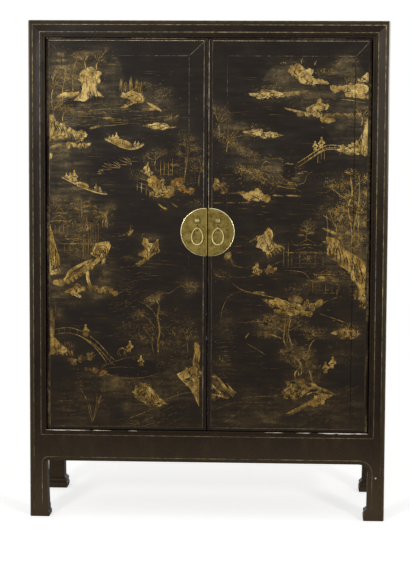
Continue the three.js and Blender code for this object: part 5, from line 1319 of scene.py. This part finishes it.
        page.stroke([(438 + 10 * i, 652 - i % 3), (441 + 10 * i, 640), (437 + 10 * i, 630)], 2.6, 0.2,
                    ((0.2, 0.1), (0.9, 0.7))[i % 2], 0.3, base=0.72)
    tuft(page, 476, 664, 110, 16, 40, 61, 0.5, 0.35, 8, 1)
    page.stroke([(370, 706), (420, 690), (470, 672)], 4, 0.35, (0.4, 0.6), 0.4)
    for x, z, width, height, seed in ((196, 672, 60, 40, 62), (226, 650, 60, 40, 63),
                                      (246, 680, 50, 40, 64), (196, 632, 60, 26, 65),
                                      (352, 632, 90, 26, 66), (296, 560, 90, 50, 67),
                                      (330, 545, 80, 60, 68), (272, 575, 60, 30, 69),
                                      (354, 520, 70, 50, 70)):
        tuft(page, x, z, width, height, 70, seed, 0.48, 0.5, 8, 1.6)
        rock(page, x, z, 0.4 * width, 0.4 * height, seed, 0, 0, (0.3, 0.45), 0.55, 2)
    for knots in ([(262, 690), (260, 650), (258, 612), (276, 576)],
                  [(282, 690), (272, 640), (282, 604), (286, 570)],
                  [(276, 576), (300, 556), (318, 520), (312, 470)],
                  [(300, 556), (336, 530), (350, 490), (360, 446)],
                  [(362, 618), (348, 600), (340, 576), (326, 550)], [(312, 520), (296, 500), (300, 470)],
                  [(262, 640), (240, 652), (214, 668), (180, 664)], [(258, 616), (226, 628), (196, 636)]):
        page.stroke(knots, 5.6, 0.5, (0.62, 0.5), 0.5, ends=0.35)
    tree(page, 312, 456, 130, 100, 78, -14, 0.5, 0.55, 130)
    tree(page, 268, 600, 90, 120, 79, -6, 0.5, 0.5, 130)
    for i, (x, z) in enumerate(((180, 676), (206, 690), (232, 684), (256, 696), (222, 656), (250, 660),
                                (280, 690), (340, 652), (372, 640), (300, 580), (322, 560), (290, 600),
                                (340, 516), (362, 480))):
        tuft(page, x, z, 46, 30, 50, 230 + i, 0.52, 0.55, 7, 1.6)
    tuft(page, 350, 650, 120, 24, 60, 65, 0.38, 0.4, 8, 1)
    tuft(page, 210, 672, 120, 50, 70, 66, 0.36, 0.45, 8, 0.9)
    page.draw(Relief.stroke, ([(120, 668), (160, 676), (200, 668), (226, 636)], 3, 0.35, 0.4, 0.45),
              ([(128, 604), (170, 580), (200, 560)], 2.8, 0.3, 0.4, 0.35),
              ([(126, 616), (142, 638)], 5, 0.4, 0.55, 0.25))
    figure(page, 398, 502, 42, 0.75, 0.25)
    figure(page, 420, 518, 44, 0.7, 0.25, 2)
    tuft(page, 450, 558, 110, 50, 40, 67, 0.3, 0.45, 7, 1.2)
    page.draw(crag, (LEAF, 296, 442, 92, 70, 68, (0.5, 0.62), 0.5, 0.3, 1, (0.95, 0.8, 0.64, 0.48, 0.32)),
              (WEDGE, 330, 456, 130, 80, 67, (0.45, 0.6), 0.5, -0.1, 1, (0.95, 0.8, 0.65, 0.5)),
              (SPIT, 378, 412, 92, 46, 69, (0.95, 0.95), 0.36, 0.35, 1, (0.95,)))
    ledge(page, 350, 452, 84, 10, -0.25, (0.75, 0.7), 0.35, 6)
    ledge(page, 352, 408, 100, 13, 3.62, (0.85, 0.6), 0.38, -4)
    page.stroke([(352, 440), (384, 434), (426, 428)], 3, 0.4, 0.8, 0.3)
    crag(page, CLIFF, 52, 452, 82, 92, 70, (0.22, 0.34), 0.6, 0, 1, (0.95,))
    for knots in ([(14, 486), (34, 484), (58, 452), (88, 420)], [(44, 478), (66, 448), (96, 426)],
                  [(16, 462), (36, 440), (66, 414)], [(66, 466), (82, 444), (100, 432)],
                  [(16, 428), (44, 422), (76, 412)]):
        page.stroke(knots, 7, 0.55, (0.7, 0.8, 0.6), 0.42, base=0.4, ends=0.4)
    tuft(page, 50, 540, 60, 46, 36, 71, 0.42, 0.3, 8, 0.9)
    page.stroke([(104, 410), (150, 420), (220, 424), (300, 440)], 3, 0.3, (0.45, 0.25), 0.45)
    page.stroke([(20, 372), (90, 398), (160, 400), (240, 396)], 2.6, 0.3, (0.35, 0.2), 0.45)
    page.draw(slopes, (250, 322, 280, 150, 6, 72, 0.24, 0.5, 15),
              (400, 440, 138, 44, 4, 73, 0.24, 0.45, 16), (20, 340, 150, 60, 4, 74, 0.3, 0.45, 15))
    tuft(page, 205, 352, 80, 50, 50, 75, 0.34, 0.5, 8, 0.8)
    for place in range(9):
        page.stroke([(24, 600 - 15 * place), (70, 604 - 15 * place),
                     (112 + 20 * (place % 2), 600 - 15 * place)], 2.2, 0.25, (0.3, 0.18), 0.45)
    tuft(page, 60, 660, 90, 110, 60, 76, 0.32, 0.45, 8, 0.6)
    water(page, 200, 520, 180, 160, 22, 77, 0.15)


# The mist: how far apart its points are and how high it lies
MIST_STEP = 4.0
MIST_RISE = 0.03


def drift(x, z, reach_x, reach_z, seed):
    """Smooth wandering number between 0 and 1: random values on a coarse grid, and between them the
    weights follow a smooth step."""
    values = np.random.default_rng(seed).uniform(0, 1, (97, 97))
    u, v = x / reach_x + 40, z / reach_z + 3
    i, j = np.floor(u).astype(int) % 96, np.floor(v).astype(int) % 96
    s, t = u - np.floor(u), v - np.floor(v)
    s, t = s * s * (3 - 2 * s), t * t * (3 - 2 * t)
    low = values[i, j] * (1 - s) + values[i + 1, j] * s
    return low * (1 - t) + (values[i, j + 1] * (1 - s) + values[i + 1, j + 1] * s) * t


def haze(page, seed):
    """Thin gold between the motifs: a fine grid just above the door. Its cover is one less the product of
    what each soft cloud and each wash leaves clear; level streaks as of water and mist, and upright ones
    as of far trees, break it up, and dark washes take it away again. A cloud thins as a bell curve. A
    wash is full where its distances across and up, as shares of its half size raised to its power, add
    up to little, and ends where they reach one."""
    low_x, high_x, low_z, high_z = page.limits
    x, z = np.meshgrid(np.append(np.arange(low_x, high_x, MIST_STEP), high_x),
                       np.append(np.arange(low_z, high_z, MIST_STEP), high_z), indexing="ij")
    clear, bare = np.ones(x.shape), np.ones(x.shape)
    for cloud_x, cloud_z, width, height, cover in page.clouds:
        away = ((x - cloud_x) / (0.62 * width + 5)) ** 2 + ((z - cloud_z) / (0.62 * height + 5)) ** 2
        clear *= 1 - np.clip(cover, 0, 0.7) * np.exp(-away)
    level = drift(x, z, 70, 6, seed)
    upright = drift(x, z, 7, 60, seed + 2)
    patch = drift(x, z, 34, 26, seed + 1)
    ragged = 1 + 0.5 * (drift(x, z, 11, 11, seed + 5) - 0.5)
    for wash_x, wash_z, width, height, cover, taper, power in page.washes:
        v = (z - wash_z) / (height / 2)
        u = (x - wash_x) / (width / 2 * np.clip(1 - taper * v, 0.1, 2))
        edge = ragged if power < 4 else 1
        steep = 1.2 if cover > -0.6 and power < 4 else 3
        inside = np.clip((1 - (np.abs(u) ** power + np.abs(v) ** power) * edge) * steep, 0, 1)
        clear *= 1 - max(cover, 0) * inside
        bare *= 1 - max(-cover, 0) * inside
    cover = (1 - clear) * (0.1 + 0.7 * level + 0.4 * upright + 0.6 * patch) * 0.6
    cover += 0.14 * np.clip(0.5 * level + 0.5 * patch - 0.3, 0, 1)
    grid = Relief()
    grid.put(x, z, MIST_RISE, cover * bare, 0.34, quads=grid_faces(*x.shape))
    return grid


for side_name, picture in (("left", left_picture), ("right", right_picture)):
    side = SIDES[side_name]
    across = sorted((side * (MEETING_EDGE + 14), side * (HINGE_EDGE - 12.6)))
    landscape = Relief((*across, DOOR_BOTTOM + 11.5, DOOR_TOP - 10))
    picture(landscape)
    hatch(landscape, 60 + side)
    landscape.finish(f"{side_name}_door_gilt_landscape", f"{side_name}_door", PICTURE_GOLD)
    haze(landscape, 90 + side).finish(f"{side_name}_door_gilt_mist", f"{side_name}_door", MIST_GOLD)


# Lacquer rubbed pale over the joints of the doors, and one open crack drawn as a painted shadow
def joint_lines():
    """Pale wear along the joints of each door: short strokes one after another along the panel's four
    sides and the mitres at its top corners, each as worn as chance has it about the joint's own share."""
    for name, side in SIDES.items():
        page = Relief()
        x_hinge, x_meet = HINGE_EDGE - HINGE_STILE, MEETING_EDGE + MEETING_STILE
        z_low, z_high = DOOR_BOTTOM + DOOR_RAIL, DOOR_TOP - DOOR_RAIL
        rng = np.random.default_rng(5 + side)
        shares = {"left": (0.28, 0.40, 0.06, 0.20, 0.34), "right": (0.26, 0.08, 0.22, 0.42, 0.05)}[name]
        top, meeting, hinge, hinge_mitre, meeting_mitre = shares
        runs = [((x_hinge, z_high), (x_meet, z_high), top), ((x_meet, z_high), (x_meet, 1290), meeting),
                ((x_hinge, z_high), (x_hinge, 1330), hinge), ((x_meet, 1290), (x_meet, z_low), 0.05),
                ((x_hinge, z_low), (x_meet, z_low), 0.08),
                ((HINGE_EDGE, DOOR_TOP), (x_hinge, z_high), hinge_mitre),
                ((MEETING_EDGE, DOOR_TOP), (x_meet, z_high), meeting_mitre)]
        for start, end, cover in runs:
            start, end = np.array(start), np.array(end)
            pieces = max(1, int(np.hypot(*(end - start)) / 60))
            for i in range(pieces):
                ends = start + (end - start) * np.array([[i], [i + 1]]) / pieces
                page.stroke(np.stack([side * ends[:, 0], ends[:, 1]], 1), 1.8, 0.25,
                            np.clip(rng.normal(cover, 0.12, 2), 0.05, 0.9), 0.3, base=0.05, ends=0.12)
        page.finish(f"{name}_door_joint_lines", f"{name}_door", RUBBED_WEAR_AND_PAINTED_LIGHT)


joint_lines()


# Chips along the edges of the doors and the lips under them, down to the chalk ground, and how far
# behind the face the ground lies on the rounded edge of a door, on the lip and on the leg's bead
DOOR_CHIP_SINK = 0.6
LIP_CHIP_SINK = 2.4
LEG_CHIP_SINK = 1.0


def chips(name, body, y, places):
    """Small ragged flakes on an edge, at the depth y: each place is its middle, width and height."""
    page = Relief()
    for i, (x, z, width, height) in enumerate(places):
        turn = once_round(14)
        edge = 1 + 0.3 * np.sin(3 * turn + i) + 0.15 * np.sin(5 * turn + 2 * i)
        page.mound(x, z, oval(width / 2, height / 2, turn, edge), 0.25, (0.7, 0.9), 0.25)
    for group in page.points:
        group[:, 1] += y - DOOR_FRONT
    page.finish(name, body, PALE_GROUND)


chips("left_door_chips", "left_door", DOOR_FRONT + DOOR_CHIP_SINK,
      [(-60, 1615.8, 14, 2.4), (-14, 1614.5, 7, 3), (-3.6, 700, 2, 14), (-3.4, 620, 2.2, 22),
       (-3.6, 540, 2, 10)])
chips("right_door_chips", "right_door", DOOR_FRONT + DOOR_CHIP_SINK,
      [(3.6, 905, 2.0, 14), (3.6, 868, 2.0, 8), (3.8, 760, 2.4, 10), (3.8, 560, 2.2, 16), (3.8, 455, 2.6, 22),
       (3.6, 410, 2.0, 12), (3.6, 330, 2.0, 16), (26, 1614.8, 6, 2.2)])
chips("lower_lip_chips", "carcass", FRONT + LIP_CHIP_SINK,
      [(-500, 298.7, 78, 3), (-438, 298.8, 66, 2.4), (-360, 299, 60, 1.5), (-250, 299, 30, 1.2),
       (230, 299, 60, 1.4), (330, 298.9, 44, 1.8), (412, 298.6, 60, 3.4), (470, 298.5, 80, 3.6),
       (518, 298.6, 40, 3.2)])
chips("right_leg_chip", "carcass", FRONT + LEG_CHIP_SINK, [(571, 148, 5, 6)])


def worn_and_highlit_edges():
    """Pale strips along the meeting edge of the right door and the top edges of both, partly rubbed wear
    and partly painted highlight: straight strips with a cover that wanders."""
    for name, side, start, end, cover in (
            ("right", 1, (2.6, DOOR_TOP - 3), (2.6, 1010), 0.62), ("right", 1, (2.6, 1000), (2.6, 320), 0.12),
            ("left", -1, (2.6, DOOR_TOP - 3), (2.6, 1100), 0.14),
            ("left", -1, (HINGE_EDGE - 2, DOOR_TOP - 1.2), (10, DOOR_TOP - 1.2), 0.26),
            ("right", 1, (10, DOOR_TOP - 1.2), (HINGE_EDGE - 2, DOOR_TOP - 1.2), 0.16)):
        page = Relief()
        line = divided([start, end], 14, False) * [side, 1]
        page.stroke(line, 2, 0.12, worn_cover(len(line), cover, 0.5 * cover, len(line)), 0, base=0.05,
                    ends=0, steps=1)
        page.finish(f"{name}_door_worn_edge_{len(line)}", f"{name}_door", RUBBED_WEAR_AND_PAINTED_LIGHT)


worn_and_highlit_edges()


def hinge_edge_painted_light():
    """Painted light on the rounded hinge edge of each door: paler brown where the edge lies in the post's
    shade and would look black beside the post; a strip of its own arc about the pivots' axis."""
    level, turn = np.meshgrid(np.linspace(DOOR_BOTTOM + 1, DOOR_TOP - 1, 60),
                              np.radians(np.linspace(24, 69, 5)), indexing="ij")
    radius = PIVOT_INSET + CLEAR
    for name, side in SIDES.items():
        points = np.stack([side * (HINGE_EDGE - PIVOT_INSET + radius * np.cos(turn)),
                           DOOR_FRONT + PIVOT_DEPTH - radius * np.sin(turn), level], -1)
        grid_piece(f"{name}_door_hinge_edge_painted_light", f"{name}_door", RUBBED_WEAR_AND_PAINTED_LIGHT, points, (side, -1, 0),
                   cover=np.repeat(worn_cover(60, 0.2, 0.1, 7 + side), 5), warm=np.full(300, 0.5))


hinge_edge_painted_light()


def plate_rims():
    """Polished wear and a painted highlight on the lock plate: pale brass on the rounded top of its rim,
    carried round the arc that each half keeps and widest above, where the light catches it, and duller
    a thin strip along the inner edge of the left half."""
    turn = np.radians(np.linspace(-94, 94, 60))[:, None]
    for name, side in SIDES.items():
        around = math.pi / 2 - 0.12 + np.linspace(-1, 1, 5) * (0.42 + 0.3 * np.sin(turn + 0.6))
        radius = PLATE_RADIUS - RIM_ROUND + (RIM_ROUND + CLEAR) * np.cos(around)
        rise = RIM_HEIGHT - RIM_ROUND + (RIM_ROUND + CLEAR) * np.sin(around)
        rim = np.stack([side * (PLATE_X + radius * np.cos(turn)), DOOR_FRONT - rise,
                        PLATE_Z + radius * np.sin(turn)], -1)
        grid_piece(f"{name}_plate_rim_painted_highlight", f"{name}_door", RIM_BRASS_PAINTED_HIGHLIGHT, rim, (0, -1, 0))
    level, place = np.meshgrid(np.linspace(-76, 76, 12), [-4.3, -2.3], indexing="ij")
    edge = np.stack([place, np.full(place.shape, DOOR_FRONT - PLATE_THICK - CLEAR), PLATE_Z + level], -1)
    grid_piece("left_plate_worn_edge", "left_door", WORN_BRASS, edge, (0, -1, 0))


plate_rims()


def open_joint():
    """Joint of the right door's panel and hinge stile where it has opened: a near-black line, a painted
    shadow of the gap, that leans as the wood has shrunk."""
    page = Relief()
    line = divided([(487.5, DOOR_TOP - DOOR_RAIL - 4), (482.5, DOOR_BOTTOM + DOOR_RAIL)], 24, False)
    page.stroke(line, 1.9, 0.1, worn_cover(len(line), 0.5, 0.3, 3), 0.3, base=0.5, ends=0.1, steps=1)
    page.finish("right_door_open_joint", "right_door", OPEN_JOINT_PAINTED_SHADOW)


open_joint()


# Floor, light and camera, whose places are in metres
WHITE = (1, 1, 1, 1)
CAMERA_PLACE = (0.3018, -6.587, 1.4443)


def make_floor():
    """Plain pale floor: a sheet 14 m across, painted white. To the camera it has some white of its own as
    well, so that it runs into the background and yet keeps the cabinet's shadow."""
    mesh = bpy.data.meshes.new("studio_floor")
    reach = 7.0
    mesh.from_pydata([(-reach, -reach, 0), (reach, -reach, 0), (reach, reach, 0), (-reach, reach, 0)], [],
                     [(0, 1, 2, 3)])
    material, add = new_material("white_painted_floor")
    paint = add("BsdfPrincipled", {"Base Color": linear("#f2f1ef"), "Roughness": 0.7,
                                   "Specular IOR Level": 0.2})
    own_white = add("Emission", WHITE, product(add, add("LightPath")["Is Camera Ray"], 0.6))
    add("OutputMaterial", add("AddShader", paint, own_white))
    mesh.materials.append(material)
    floor = bpy.data.objects.new("studio_floor", mesh)
    bpy.context.scene.collection.objects.link(floor)


def light_world():
    """Even grey light from all round; what the camera, metal and gloss see of it is white."""
    world = bpy.data.worlds.new("studio_world")
    bpy.context.scene.world = world
    world.use_nodes = True
    world.node_tree.nodes.clear()
    add = partial(add_node, world.node_tree)
    rays = add("LightPath")
    seen = rays["Is Camera Ray"]
    for ray in ("Is Glossy Ray", "Is Transmission Ray"):
        seen = add("Math", seen, rays[ray], operation="MAXIMUM")
    add("OutputWorld", add("Background", WHITE, add("MapRange", seen, 0, 1, 0.4, 1.0)))


def soft_box(name, place, target, size, power):
    """Square soft lamp that faces its target."""
    lamp = bpy.data.lights.new(name, "AREA")
    lamp.shape, lamp.size, lamp.energy = "SQUARE", size, power
    holder = bpy.data.objects.new(name, lamp)
    bpy.context.scene.collection.objects.link(holder)
    aim = (Vector(target) - Vector(place)).to_track_quat("-Z", "Y")
    holder.matrix_world = Matrix.Translation(place) @ aim.to_matrix().to_4x4()


def place_camera():
    """Long lens a little right of the middle and a little above it, turned 2.8 degrees to the left and
    5.8 degrees down, as the photograph was taken. The picture is 410 by 565."""
    yaw, pitch, roll = -0.0489, 0.1005, 0.0045
    focal_pixels, picture_height_pixels = 1900, 565
    forward = np.array([math.sin(yaw) * math.cos(pitch), math.cos(yaw) * math.cos(pitch), -math.sin(pitch)])
    right = np.array([math.cos(yaw), -math.sin(yaw), 0])
    up = np.cross(right, forward)
    turned_right = math.cos(roll) * right + math.sin(roll) * up
    turned_up = math.cos(roll) * up - math.sin(roll) * right
    data = bpy.data.cameras.new("camera")
    data.sensor_width = 36
    data.lens = focal_pixels / picture_height_pixels * data.sensor_width
    data.clip_end = 60
    camera = bpy.data.objects.new("camera", data)
    bpy.context.scene.collection.objects.link(camera)
    axes = np.column_stack([turned_right, turned_up, -forward, CAMERA_PLACE])
    camera.matrix_world = Matrix([*axes.tolist(), (0, 0, 0, 1)])
    bpy.context.scene.camera = camera


make_floor()
light_world()
soft_box("left_soft_box", place=(-1.55, -4.6, 1.75), target=(-0.2, 0, 0.7), size=0.45, power=76)
soft_box("right_soft_box", place=(2.35, -4.2, 1.75), target=(0.2, 0, 0.7), size=0.45, power=70)
place_camera()
bpy.context.scene.view_settings.view_transform = "Standard"
